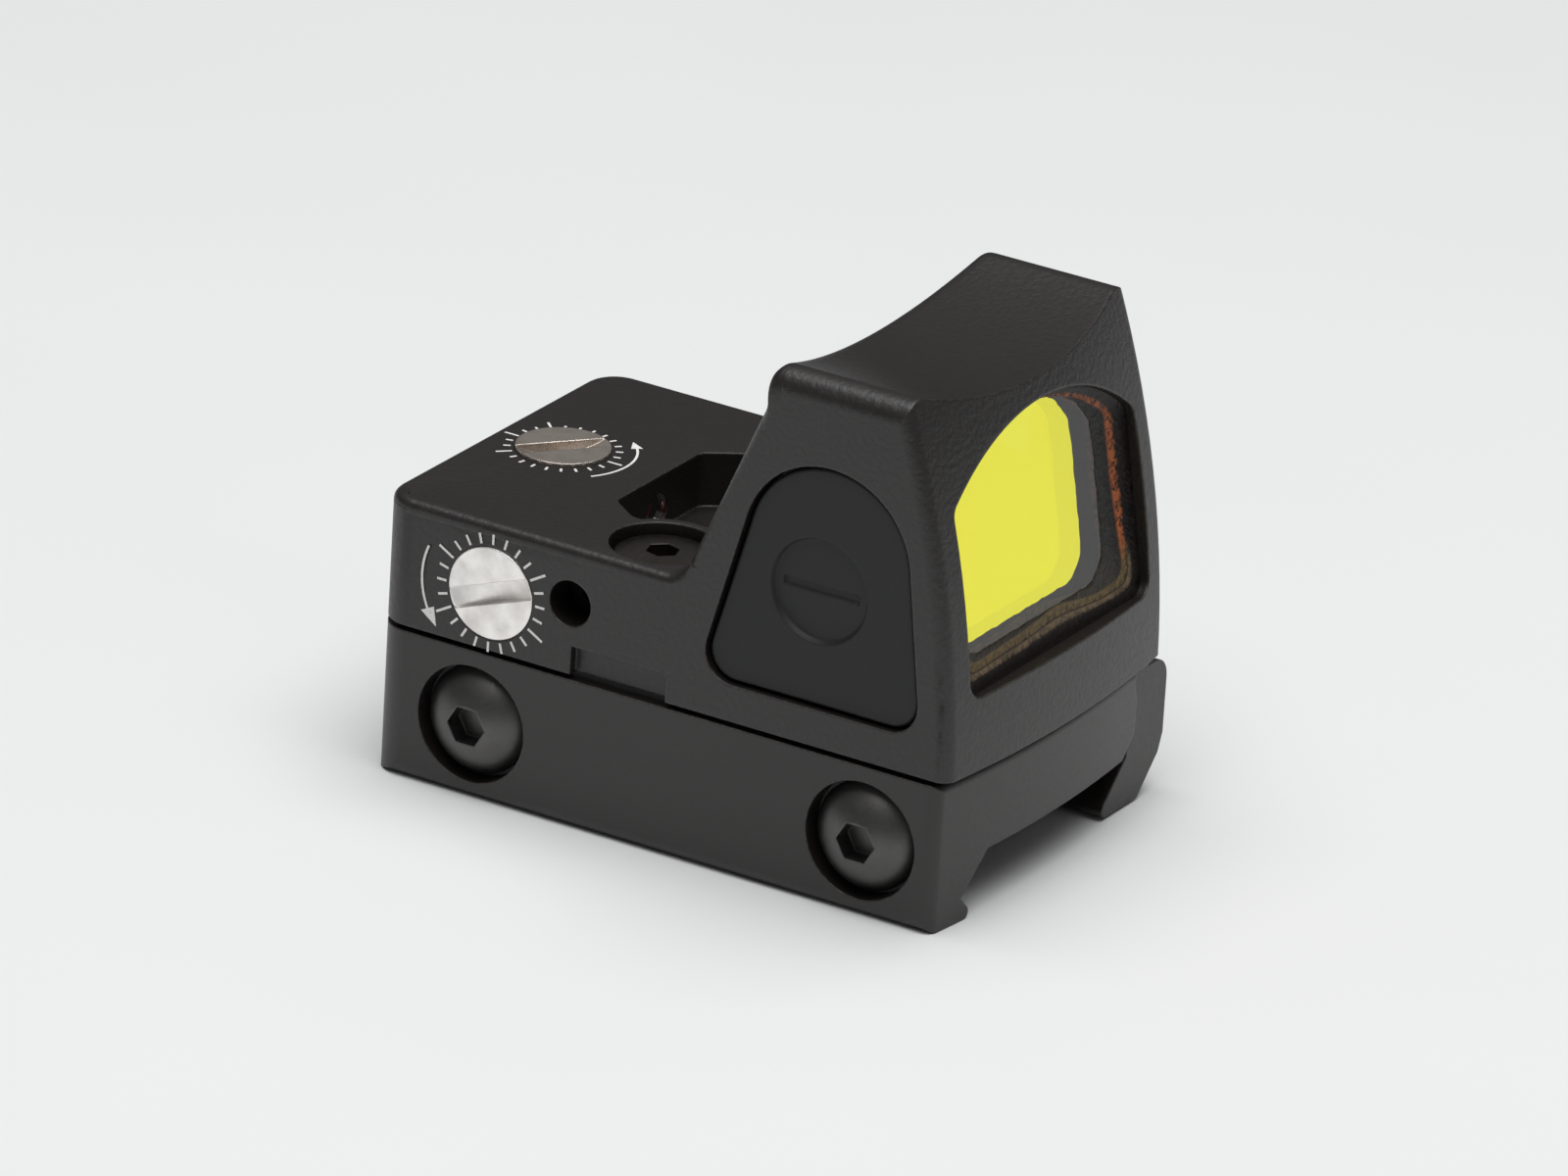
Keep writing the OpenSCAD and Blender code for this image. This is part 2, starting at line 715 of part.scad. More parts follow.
module retaining_clip(clip_depth) {
  color(steel) translate([0, 0, -clip_depth - clip_t + 0.02]) difference() {
    cylinder(r = clip_r, h = clip_t);
    translate([0, 0, -1]) cylinder(r = shank_r - 0.28, h = 2);
    translate([0, -0.6, -1]) cube([2 * clip_r, 1.2, 2]);
  }
}

module at_elevation() {
  translate([0, -elevation_y, elevation_top_z]) children();
}

// The windage parts are turned so that the slot angle is measured from +Y
module at_windage() {
  facing_x(windage_top_x, -windage_y, windage_z) rotate(90) children();
}

elevation_clip_depth = elevation_top_z - stage_top_z + clip_gap;
windage_clip_depth = windage_top_x - stage_half + clip_gap;
elevation_shank_l = elevation_top_z - slide_bottom_z + 0.3;
windage_shank_l = windage_top_x - windage_tip_x;

module elevation_screw() {
  color("#8f8780") at_elevation() adjuster(elevation_shank_l, elevation_slot_turn, elevation_clip_depth);
}

module elevation_oring() {
  at_elevation() oring();
}

module elevation_washer() {
  at_elevation() click_washer();
}

module elevation_clip() {
  at_elevation() retaining_clip(elevation_clip_depth);
}

module windage_screw() {
  color("#e4e2de") at_windage() adjuster(windage_shank_l, windage_slot_turn, windage_clip_depth);
}

module windage_oring() {
  at_windage() oring();
}

module windage_washer() {
  at_windage() click_washer();
}

module windage_clip() {
  at_windage() retaining_clip(windage_clip_depth);
}

// Nut block on the elevation shank, with the shelf under the emitter block
module elevation_slide() {
  slide_rear_y = stage_rear_y + slide_gap;
  slide_half = stage_half - slip;
  color("#c9a04a") difference() {
    union() {
      translate([-slide_half, slide_rear_y, slide_bottom_z])
        cube([2 * slide_half, slide_front_y - slide_rear_y, slide_top_z - slide_bottom_z]);
      translate([-slide_half, slide_front_y - eps, slide_bottom_z])
        cube([2 * slide_half, block_front_y - slide_gap - slide_front_y, shelf_t]);
    }
    translate([0, -elevation_y, slide_bottom_z - 1]) cylinder(r = shank_r + slip, h = deck_h);
  }
}

// Short spring between the seal plate and the slide, taking up the play of the thread
module elevation_spring() {
  color(steel) translate([0, -elevation_y, base_z + spring_gap]) difference() {
    cylinder(r = shank_r + spring_clear + spring_w, h = slide_lift - 2 * spring_gap);
    translate([0, 0, -slide_lift]) cylinder(r = shank_r + spring_clear, h = 3 * slide_lift);
  }
}

// Block that carries the diode; the windage nut sits in its slot and moves it sideways
module emitter_block() {
  block_rear_y = slide_front_y + 0.02;
  tower_y = tower_rear_y + 0.3;
  tower_h = tower_top_z - emitter_travel - 0.1 - block_bottom_z;
  slot_half_y = shank_r + slip;
  slot_half_z = shank_r + emitter_travel + 0.1;
  color("#9a9a9c") difference() {
    union() {
      translate([block_left_x, block_rear_y, block_bottom_z])
        cube([block_right_x - block_left_x, block_front_y - block_rear_y, block_top_z - block_bottom_z]);
      translate([-tower_half, tower_y, block_bottom_z])
        cube([2 * tower_half, block_front_y - tower_y, tower_h]);
    }
    translate([windage_tip_x - emitter_travel - 0.2, -windage_y - slot_half_y, windage_z - slot_half_z])
      cube([block_right_x + 2, 2 * slot_half_y, 2 * slot_half_z]);
    translate([nut_mid_x - nut_t / 2 - slip, block_rear_y - 1, block_bottom_z - 1])
      cube([nut_t + 2 * slip, -windage_y + nut_half_y + slip - block_rear_y + 1, deck_h]);
  }
}

module emitter_diode() {
  color("#d8281e") translate([0, block_front_y, emitter_z]) rotate([-90, 0, 0])
    cylinder(r = emitter_r, h = 0.25);
}

module emitter_window() {
  color("#cfd8da") translate([0, channel_rear_y - emitter_window_t - 0.1, emitter_z]) rotate([-90, 0, 0])
    cylinder(r = emitter_window_r, h = emitter_window_t);
}

module windage_nut() {
  color("#c9a04a") difference() {
    translate([nut_mid_x - nut_t / 2, -windage_y - nut_half_y, windage_z - nut_half_z])
      cube([nut_t, 2 * nut_half_y, 2 * nut_half_z]);
    facing_x(nut_mid_x - nut_t, -windage_y, windage_z) cylinder(r = shank_r + slip, h = 2 * nut_t);
  }
}

// One rubber button on the right side; vertical adds the upright stroke of a plus
module button(vertical) {
  dish_x = button_face_x - button_dish;
  sign_x = dish_x - button_sign_depth;
  color(rubber) difference() {
    union() {
      along_x(button_back_x, button_face_x)
        translate([0, base_z]) belt_outline(button_corners, -button_gap);
      facing_x(dome_top_x + button_travel + plunger_gap, button_mid_y, button_mid_z)
        cylinder(r = plunger_r, h = button_back_x - dome_top_x - button_travel);
    }
    facing_x(dish_x, button_mid_y, button_mid_z) cylinder(r = button_dish_r, h = 2, $fn = 96);
    translate([sign_x, button_mid_y - button_sign_l / 2, button_mid_z - button_sign_w / 2])
      cube([1, button_sign_l, button_sign_w]);
    if (vertical)
      translate([sign_x, button_mid_y - button_sign_w / 2, button_mid_z - button_sign_l / 2])
        cube([1, button_sign_w, button_sign_l]);
  }
}

module right_button() {
  button(false);
}

module left_button() {
  mirror([1, 0, 0]) button(true);
}

// Thin domed disc that snaps under the button
module snap_dome() {
  dome_ball = (dome_r * dome_r + dome_h * dome_h) / (2 * dome_h);
  color(steel) facing_x(dome_floor_x + flex_t, button_mid_y, button_mid_z) rotate_extrude($fn = 96)
    intersection() {
      difference() {
        translate([0, dome_h - dome_ball]) circle(dome_ball, $fn = fine_fn);
        translate([0, dome_h - dome_ball]) circle(dome_ball - dome_t, $fn = fine_fn);
      }
      square([dome_r, dome_h]);
    }
}

module right_snap_dome() {
  snap_dome();
}

module left_snap_dome() {
  mirror([1, 0, 0]) snap_dome();
}

// Printed ribbon from the board, out through the wall and up behind the dome
module switch_flex() {
  color("#b0762c") {
    translate([board_w / 2 - flex_overlap, button_mid_y - flex_w / 2, flex_z])
      cube([dome_floor_x + flex_t - board_w / 2 + flex_overlap, flex_w, flex_t]);
    translate([dome_floor_x, button_mid_y - flex_w / 2, flex_z])
      cube([flex_t, flex_w, button_mid_z + dome_r - flex_z]);
  }
}

module right_switch_flex() {
  switch_flex();
}

module left_switch_flex() {
  mirror([1, 0, 0]) switch_flex();
}

module circuit_board() {
  color("#2c6b3a") translate([-board_w / 2, battery_y - board_l / 2, board_z])
    cube([board_w, board_l, board_t]);
}

module controller_chip() {
  color("#262626") translate([-chip_w / 2, battery_y - chip_w / 2, board_z + board_t])
    cube([chip_w, chip_w, chip_t]);
}

// Coin cell: the can, and the smaller cap above it
module battery() {
  cap_step = 0.5;
  color("#c8c8c6") translate([0, battery_y, battery_z]) {
    cylinder(r = battery_r, h = battery_t - cap_step, $fn = fine_fn);
    cylinder(r = battery_r - 1.1, h = battery_t, $fn = fine_fn);
  }
}

// Leaf under the board with a dimple on the cell
module battery_contact() {
  leaf_t = 0.12;
  leaf_l = 9;
  leaf_w = 3;
  color("#c9a04a") {
    translate([-leaf_l / 2, battery_y - leaf_w / 2, board_z - leaf_t]) cube([leaf_l, leaf_w, leaf_t]);
    translate([0, battery_y, battery_z + battery_t]) cylinder(r = leaf_w / 3, h = contact_gap - eps);
  }
}

module base_gasket() {
  color("#1c1c1c") translate([0, battery_y, base_z]) difference() {
    cylinder(r = gasket_r + gasket_w / 2 - slip, h = gasket_depth - 0.05, $fn = fine_fn);
    translate([0, 0, -1]) cylinder(r = gasket_r - gasket_w / 2 + slip, h = 3, $fn = fine_fn);
  }
}

module seal_plate() {
  color("#2a2a2b") translate([0, 0, mount_t]) linear_extrude(plate_t) difference() {
    plan_outline(plate_inset);
    for (s = [-1, 1]) {
      translate([s * sight_x, -sight_screw_y]) circle(sight_hole_r);
      translate([s * pin_x, pin_y]) circle(pin_r + slip);
    }
  }
}

module locating_pins() {
  color(steel) for (s = [-1, 1])
    translate([s * pin_x, pin_y, pin_bottom_z]) cylinder(r = pin_r, h = pin_top_z - pin_bottom_z);
}

// Round-headed screw with a hex socket, drawn down -Z from the top of its head
// The crown is the drop from the flat top to the head's edge; lift flattens its middle
module socket_screw(head_d, head_h, shank_d, length, hex, crown, lift) {
  rise = crown + lift;
  crown_r = (pow(head_d / 2, 2) + rise * rise) / (2 * rise);
  difference() {
    union() {
      intersection() {
        translate([0, 0, -head_h]) cylinder(d = head_d, h = head_h, $fn = 96);
        translate([0, 0, lift - crown_r]) sphere(crown_r, $fn = fine_fn);
      }
      translate([0, 0, -length]) cylinder(d = shank_d, h = length - head_h + eps);
    }
    translate([0, 0, -head_h * 0.65]) cylinder(d = hex / cos(30), h = head_h + 1, $fn = 6);
  }
}

module sight_screws() {
  head_z = deck_z - sight_sink;
  color("#6d6660") for (s = [-1, 1])
    translate([s * sight_x, -sight_screw_y, head_z]) rotate(15)
      socket_screw(sight_head_d, sight_head_h, sight_shank_d, head_z - mount_t + sight_thread_depth - 0.5,
        sight_hex, 0.25, 0.05);
}

module lock_screw() {
  color("#4b4c4e") facing_x(half_w - lock_hole_depth + 0.1, lock_y, lock_z) difference() {
    cylinder(d = lock_hole_d - 0.1, h = lock_screw_l);
    translate([0, 0, lock_screw_l - 1.2]) cylinder(d = lock_hex / cos(30), h = 2, $fn = 6);
  }
}

// Section of the mount: rail channel, fixed right jaw, and the web for the clamp bar
module mount_section() {
  polygon([
    [-half_w, mount_t],
    [-half_w, mount_t - flange_t],
    [web_x + groove_depth, mount_t - flange_t],
    [web_x + groove_depth, groove_z],
    [web_x, groove_foot_z],
    [web_x, web_foot_z],
    [web_foot_x, 0],
    [seat_edge_x, 0],
    [jaw_root_x, -flank],
    each [for (t = [135 : 27 : 270]) [jaw_tip_x + jaw_tip_r * cos(t), jaw_tip_z + jaw_tip_r * sin(t)]],
    [half_w - jaw_foot_r, -jaw_drop],
    [half_w, -jaw_drop + jaw_foot_r],
    [half_w, mount_t]
  ]);
  translate([half_w - jaw_foot_r, -jaw_drop + jaw_foot_r]) circle(jaw_foot_r);
}

// Cut that rounds the bowed upper front edge of the mount
module front_edge_cut() {
  r = mount_edge_r;
  translate([0, front_y - mount_setback - front_bow_r, mount_t - r]) rotate_extrude($fn = 720)
    translate([front_bow_r - r, 0]) difference() {
      square([r + 1, r + 1]);
      circle(r);
    }
}

module mount_base() {
  color(black) difference() {
    intersection() {
      along_y(rear_y - 1, front_y + 1) mount_section();
      translate([0, 0, -jaw_drop - 1]) linear_extrude(mount_t + jaw_drop + 1) plan_outline();
    }
    front_edge_cut();
    for (y = bolt_y) {
      facing_x(bar_outer_x - clamp_travel, y, bolt_z)
        cylinder(r = bolt_d / 2 + bolt_clear, h = half_w - bar_outer_x + clamp_travel);
      facing_x(bolt_floor_x, y, bolt_z) cylinder(r = bolt_head_d / 2 + bolt_gap, h = half_w);
    }
    for (s = [-1, 1]) {
      translate([s * sight_x, -sight_screw_y, mount_t - sight_thread_depth])
        cylinder(r = sight_shank_d / 2 + slip, h = mount_t);
      translate([s * pin_x, pin_y, pin_bottom_z]) cylinder(r = pin_r + 0.02, h = mount_t);
    }
  }
}

// Section of the clamp bar: a lip under the flange, a round shoulder, a sloping foot and a hook
module bar_section() {
  lip_x = bar_inner_x + groove_depth;
  tip_z = bar_bottom_z + bar_tip_r;
  hook_y = bar_tip_r * cos(45);
  shoulder_z = bar_top_z - bar_shoulder_r;
  polygon([
    [lip_x, bar_top_z],
    [bar_outer_x + bar_shoulder_r, bar_top_z],
    [bar_outer_x, shoulder_z],
    [bar_outer_x, -0.4],
    [bar_outer_x + 0.5, -1.7],
    [bar_outer_x + 2.95, bar_bottom_z],
    [bar_tip_x, bar_bottom_z],
    [bar_tip_x + hook_y, tip_z + hook_y],
    [bar_inner_x, tip_z + 2 * hook_y + bar_tip_x - bar_inner_x],
    [bar_inner_x, groove_foot_z],
    [lip_x, groove_z]
  ]);
  translate([bar_outer_x + bar_shoulder_r, shoulder_z]) circle(bar_shoulder_r);
  translate([bar_tip_x, tip_z]) circle(bar_tip_r);
}

module clamp_bar() {
  color(black) difference() {
    along_y(bar_mid_y - bar_l / 2, bar_mid_y + bar_l / 2) bar_section();
    for (y = bolt_y)
      facing_x(bar_outer_x - 1, y, bolt_z) cylinder(r = bolt_d / 2 + slip, h = bar_t + 2);
  }
}

// Cross bolt, its head in the right side and its tip in the clamp bar
module cross_bolt(y) {
  color("#4b4c4e") facing_x(bolt_top_x, y, bolt_z) rotate(30)
    socket_screw(bolt_head_d, bolt_head_h, bolt_d, bolt_top_x - bolt_tip_x, bolt_hex, 1.6, 0.2);
}

module front_cross_bolt() {
  cross_bolt(bolt_y[1]);
}

module rear_cross_bolt() {
  cross_bolt(bolt_y[0]);
}

mount_base();
clamp_bar();
front_cross_bolt();
rear_cross_bolt();
seal_plate();
locating_pins();
housing();
base_gasket();
battery();
battery_contact();
circuit_board();
controller_chip();
right_switch_flex();
left_switch_flex();
right_snap_dome();
left_snap_dome();
right_button();
left_button();
elevation_slide();
elevation_spring();
emitter_block();
emitter_diode();
emitter_window();
windage_nut();
elevation_screw();
elevation_oring();
elevation_washer();
elevation_clip();
windage_screw();
windage_oring();
windage_washer();
windage_clip();
lock_screw();
sight_screws();
lens();
lens_bead();
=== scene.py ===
import bmesh
import bpy
import numpy as np
from mathutils import Matrix, Vector


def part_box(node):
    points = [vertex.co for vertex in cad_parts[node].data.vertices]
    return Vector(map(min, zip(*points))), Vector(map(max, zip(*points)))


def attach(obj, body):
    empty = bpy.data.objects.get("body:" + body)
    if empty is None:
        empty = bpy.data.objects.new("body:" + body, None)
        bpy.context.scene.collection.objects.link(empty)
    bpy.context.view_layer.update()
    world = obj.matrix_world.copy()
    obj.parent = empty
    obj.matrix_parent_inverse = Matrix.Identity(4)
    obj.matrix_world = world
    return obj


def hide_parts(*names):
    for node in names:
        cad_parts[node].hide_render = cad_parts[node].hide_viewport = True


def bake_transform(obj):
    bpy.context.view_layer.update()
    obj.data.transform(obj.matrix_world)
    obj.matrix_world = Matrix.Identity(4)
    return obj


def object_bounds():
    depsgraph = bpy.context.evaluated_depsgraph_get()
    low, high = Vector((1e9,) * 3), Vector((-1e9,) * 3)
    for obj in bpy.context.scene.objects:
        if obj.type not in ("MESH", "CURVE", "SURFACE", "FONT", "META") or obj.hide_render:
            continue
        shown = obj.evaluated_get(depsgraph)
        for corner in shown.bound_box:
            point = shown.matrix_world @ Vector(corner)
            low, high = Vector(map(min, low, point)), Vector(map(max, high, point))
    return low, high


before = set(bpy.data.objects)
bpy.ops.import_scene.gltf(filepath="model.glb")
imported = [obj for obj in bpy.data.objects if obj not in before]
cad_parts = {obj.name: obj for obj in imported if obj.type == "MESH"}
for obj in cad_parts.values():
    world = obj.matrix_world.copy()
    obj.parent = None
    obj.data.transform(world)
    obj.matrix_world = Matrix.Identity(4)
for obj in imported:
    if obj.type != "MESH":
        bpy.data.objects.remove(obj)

cad_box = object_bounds()

# Rail clamp: the low mount with its fixed right jaw, and the bar that is drawn against the rail.
# Both are milled from aluminium, blasted with fine beads and anodised black.
# The mount carries the sight, and the bar hangs on the two cross bolts.
MM = 0.001


def srgb(code):
    """Linear colour of an sRGB hex code."""
    v = np.array([int(code[i:i + 2], 16) for i in (1, 3, 5)]) / 255
    return (*np.where(v <= 0.04045, v / 12.92, ((v + 0.055) / 1.055) ** 2.4), 1.0)


def node(tree, kind, links=None, stops=(), **settings):
    """Adds a shader node. links gives each input, by name or number, a value, a node or a socket.
    stops gives a colour ramp its places, from 0 to 1, and their colours."""
    made = tree.nodes.new("ShaderNode" + kind)
    for name, value in settings.items():
        setattr(made, name, value)
    for _ in stops[2:]:
        made.color_ramp.elements.new(0.5)
    if stops:
        for element, (at, code) in zip(made.color_ramp.elements, stops):
            element.position, element.color = at, srgb(code)
    for key, value in (links or {}).items():
        if isinstance(value, bpy.types.Node):
            value = value.outputs[0]
        if isinstance(value, bpy.types.NodeSocket):
            tree.links.new(value, made.inputs[key])
        else:
            made.inputs[key].default_value = value
    return made


def new_material(name):
    """An empty node material and its tree."""
    made = bpy.data.materials.new(name)
    made.use_nodes = True
    made.node_tree.nodes.clear()
    return made, made.node_tree


def coat(made, *names):
    """Gives these CAD nodes the material."""
    for name in names:
        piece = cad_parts[name]
        if not piece.material_slots:
            piece.data.materials.append(None)
        for place in piece.material_slots:
            place.material = made


def anodised(name, colour, cloudy, worn, grain_mm, depth_mm, rough, edge_mm):
    """Black anodised aluminium. The beads leave fine dimples that spread the light to a satin sheen,
    the dye is a little uneven, and edges that are handled wear to a paler grey."""
    made, tree = new_material(name)
    cloud_mm, chip_mm, sheen_drift = 8, 0.22, 0.07
    edge_begins, edge_full = 0.97, 0.86
    place = node(tree, "TexCoord").outputs["Object"]
    dimples = node(tree, "TexNoise", {"Vector": place, "Scale": 1 / (grain_mm * MM), "Detail": 3.0})
    clouds = node(tree, "TexNoise", {"Vector": place, "Scale": 1 / (cloud_mm * MM), "Detail": 4.0})
    chips = node(tree, "TexNoise", {"Vector": place, "Scale": 1 / (chip_mm * MM), "Detail": 2.0})
    chips = node(tree, "MapRange", {"Value": chips, "From Min": 0.42, "From Max": 0.62})
    rounded = node(tree, "Bevel", {"Radius": edge_mm * MM}, samples=6)
    flat = node(tree, "NewGeometry").outputs["Normal"]
    turn = node(tree, "VectorMath", {0: rounded, 1: flat}, operation="DOT_PRODUCT").outputs["Value"]
    edge = node(tree, "MapRange", {"Value": turn, "From Min": edge_begins, "From Max": edge_full})
    edge = node(tree, "Math", {0: edge, 1: chips}, operation="MULTIPLY")
    dye = node(tree, "Mix", {0: clouds, 6: srgb(colour), 7: srgb(cloudy)}, data_type="RGBA")
    skin = node(tree, "Mix", {0: edge, 6: dye.outputs[2], 7: srgb(worn)}, data_type="RGBA")
    sheen = node(tree, "MapRange", {
        "Value": dimples, "To Min": rough - sheen_drift, "To Max": rough + sheen_drift})
    bump = node(tree, "Bump", {"Height": dimples, "Distance": depth_mm * MM, "Normal": rounded})
    shader = node(tree, "BsdfPrincipled", {
        "Base Color": skin.outputs[2], "Roughness": sheen, "Normal": bump, "IOR": 1.6})
    node(tree, "OutputMaterial", {"Surface": shader})
    return made


coat(anodised("blasted_black_mount", "#161210", "#1c1816", "#4a4440",
              grain_mm=0.28, depth_mm=0.012, rough=0.42, edge_mm=0.22),
     "mount_base", "clamp_bar")

# Cross bolts: two button-head socket bolts that draw the bar against the rail.
# They are steel, turned, hex broached and blackened in a hot oxide bath.


def metal(name, colour, dull, rough, streak_mm, length_mm, depth_mm, edge_mm):
    """Machined metal. Cutting leaves fine streaks, which vary the gloss more than the colour,
    and handling leaves duller clouds."""
    made, tree = new_material(name)
    cloud_mm, smoother, duller = 2.5, 0.1, 0.12
    place = node(tree, "TexCoord").outputs["Object"]
    fine, coarse = 1 / (streak_mm * MM), 1 / (length_mm * MM)
    along = node(tree, "Mapping", {"Vector": place, "Scale": (coarse, fine, fine)})
    streaks = node(tree, "TexNoise", {"Vector": along, "Scale": 1.0, "Detail": 3.0})
    clouds = node(tree, "TexNoise", {"Vector": place, "Scale": 1 / (cloud_mm * MM), "Detail": 4.0})
    rounded = node(tree, "Bevel", {"Radius": edge_mm * MM}, samples=6)
    tone = node(tree, "Mix", {0: clouds, 6: srgb(colour), 7: srgb(dull)}, data_type="RGBA")
    gloss = node(tree, "MapRange", {"Value": streaks, "To Min": rough - smoother, "To Max": rough + duller})
    bump = node(tree, "Bump", {"Height": streaks, "Distance": depth_mm * MM, "Normal": rounded})
    shader = node(tree, "BsdfPrincipled", {
        "Base Color": tone.outputs[2], "Metallic": 1.0, "Roughness": gloss, "Normal": bump})
    node(tree, "OutputMaterial", {"Surface": shader})
    return made


coat(metal("black_oxide_steel", "#6d6c6b", "#545352",
           rough=0.42, streak_mm=0.2, length_mm=0.35, depth_mm=0.004, edge_mm=0.18),
     "front_cross_bolt", "rear_cross_bolt")

# Seal plate and pins: a thin dark sheet between the sight and its mount keeps water from the battery.
# Two ground steel pins keep the sight from creeping.


def soft_sheet(name, colour, pale, grain_mm, depth_mm, rough):
    """Rubber or fibre sheet. It is matt, with a fine mealy grain and a faint bloom."""
    made, tree = new_material(name)
    bloom_mm, matt_drift = 5, 0.08
    place = node(tree, "TexCoord").outputs["Object"]
    grain = node(tree, "TexNoise", {"Vector": place, "Scale": 1 / (grain_mm * MM), "Detail": 4.0})
    bloom = node(tree, "TexNoise", {"Vector": place, "Scale": 1 / (bloom_mm * MM), "Detail": 3.0})
    tone = node(tree, "Mix", {0: bloom, 6: srgb(colour), 7: srgb(pale)}, data_type="RGBA")
    bump = node(tree, "Bump", {"Height": grain, "Distance": depth_mm * MM})
    matt = node(tree, "MapRange", {
        "Value": grain, "To Min": rough - matt_drift, "To Max": rough + matt_drift})
    shader = node(tree, "BsdfPrincipled", {
        "Base Color": tone.outputs[2], "Roughness": matt, "Normal": bump, "IOR": 1.5})
    node(tree, "OutputMaterial", {"Surface": shader})
    return made


coat(soft_sheet("gasket_sheet", "#141414", "#1c1b1b", grain_mm=0.12, depth_mm=0.01, rough=0.75), "seal_plate")
coat(metal("ground_steel", "#b9b7b4", "#9c9a97",
           rough=0.25, streak_mm=0.1, length_mm=1.0, depth_mm=0.002, edge_mm=0.1),
     "locating_pins")

# Housing: one block of aluminium with the rear deck, the hood with its two ears and the window frame.
# It is milled, blasted with coarser beads than the mount, and anodised black.
# Its dimples are about 0.1 mm wide, and they are drawn at 0.4 mm so that they show.
housing_skin = anodised("blasted_black_housing", "#151110", "#1b1715", "#453f3b",
                        grain_mm=0.4, depth_mm=0.04, rough=0.42, edge_mm=0.25)
coat(housing_skin, "housing")

# Dial marks: white paint in fine lines round the two adjusters, with an arrow for the turning direction.
# They are printed on the anodised skin, so they stand proud by no more than the paint's thickness.
PAINT_T = 0.02
TICK_W, TICKS = 0.17, 24
ARROW_TIP, ARC_STEPS = 0.02, 25
SPECK_MM = 0.12


def white_paint():
    """Screen-printed enamel: chalky white, thin enough that the dark skin shows through in specks."""
    made, tree = new_material("printed_white_enamel")
    place = node(tree, "TexCoord").outputs["Object"]
    specks = node(tree, "TexNoise", {"Vector": place, "Scale": 1 / (SPECK_MM * MM), "Detail": 3.0})
    thin = node(tree, "MapRange", {"Value": specks, "From Min": 0.6, "From Max": 0.75})
    tone = node(tree, "Mix", {0: thin, 6: srgb("#e9e7e4"), 7: srgb("#8d8b89")}, data_type="RGBA")
    shader = node(tree, "BsdfPrincipled", {"Base Color": tone.outputs[2], "Roughness": 0.55})
    node(tree, "OutputMaterial", {"Surface": shader})
    return made


def piece_of(name, points, faces, *materials, sharp=0.6):
    """A mesh object from points in millimetres; edges that turn by more than sharp radians stay crisp."""
    mesh = bpy.data.meshes.new(name)
    mesh.from_pydata((np.asarray(points, float) * MM).tolist(), [], [list(map(int, f)) for f in faces])
    for made in materials:
        mesh.materials.append(made)
    mesh.polygons.foreach_set("use_smooth", [True] * len(mesh.polygons))
    mesh.set_sharp_from_angle(angle=sharp)
    made = bpy.data.objects.new(name, mesh)
    bpy.context.collection.objects.link(made)
    return made


def stroke(left, right):
    """A painted band between two rows of points in the dial's plane: the points and faces of a thin slab."""
    n = len(left)
    ring = np.concatenate([left, right])
    points = np.concatenate([np.c_[ring, np.zeros(2 * n)], np.c_[ring, np.full(2 * n, PAINT_T)]])
    i = np.arange(n - 1)
    top = np.c_[i + 3 * n, i + 1 + 3 * n, i + 1 + 2 * n, i + 2 * n]
    edges = [np.c_[i, i + 1, i + 1 + 2 * n, i + 2 * n][:, ::-1],
             np.c_[i + n, i + 1 + n, i + 1 + 3 * n, i + 3 * n]]
    ends = np.array([[0, n, 3 * n, 2 * n][::-1], [n - 1, 2 * n - 1, 4 * n - 1, 3 * n - 1]])
    return points, np.concatenate([top, top[:, ::-1] - 2 * n, *edges, ends])


def dial_marks(name, ticks_inner, short, long, long_at, arc_r, arc_from, arc_to, head_to, head_half, place):
    """Evenly spaced ticks, some of them long, and an arrow along an arc, all in degrees and millimetres.
    place takes points of the dial's plane to the object."""
    strokes = []
    for k in range(TICKS):
        turn = 360 / TICKS * k
        way = np.array([np.cos(np.radians(turn)), np.sin(np.radians(turn))])
        side = np.array([-way[1], way[0]]) * TICK_W / 2
        span = np.array([[ticks_inner], [long if turn in long_at else short]]) * way
        strokes.append(stroke(span + side, span - side))
    t = np.radians(np.linspace(arc_from, arc_to, ARC_STEPS))
    ray = np.c_[np.cos(t), np.sin(t)]
    strokes.append(stroke(ray * (arc_r - TICK_W / 2), ray * (arc_r + TICK_W / 2)))
    base, tip = np.radians([arc_to, head_to])
    ray = np.array([[np.cos(base), np.sin(base)], [np.cos(tip), np.sin(tip)]])
    half = np.array([[head_half], [ARROW_TIP]])
    strokes.append(stroke(ray * (arc_r - half), ray * (arc_r + half)))
    starts = np.cumsum([0] + [len(p) for p, _ in strokes])
    points = np.concatenate([p for p, _ in strokes])
    faces = np.concatenate([f + s for (_, f), s in zip(strokes, starts)])
    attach(piece_of(name, place(points), faces, enamel), "sight")


enamel = white_paint()
SIDE_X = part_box("mount_base")[1][0] / MM
DECK_Z = 15.4
WINDAGE = (-13.6, 10.55)
ELEVATION = (0.0, -17.1)
dial_marks("windage_dial_marks", ticks_inner=3.45, short=4.17, long=4.75, long_at=(30, 150, 210, 330),
           arc_r=5.35, arc_from=157, arc_to=206, head_to=220, head_half=0.55,
           place=lambda p: np.c_[SIDE_X + p[:, 2], WINDAGE[0] + p[:, 0], WINDAGE[1] + p[:, 1]])
dial_marks("elevation_dial_marks", ticks_inner=3.5, short=4.0, long=4.6, long_at=(90, 225, 270, 315),
           arc_r=4.95, arc_from=54, arc_to=129, head_to=142, head_half=0.4,
           place=lambda p: np.c_[ELEVATION[0] + p[:, 0], ELEVATION[1] + p[:, 1], DECK_Z + p[:, 2]])

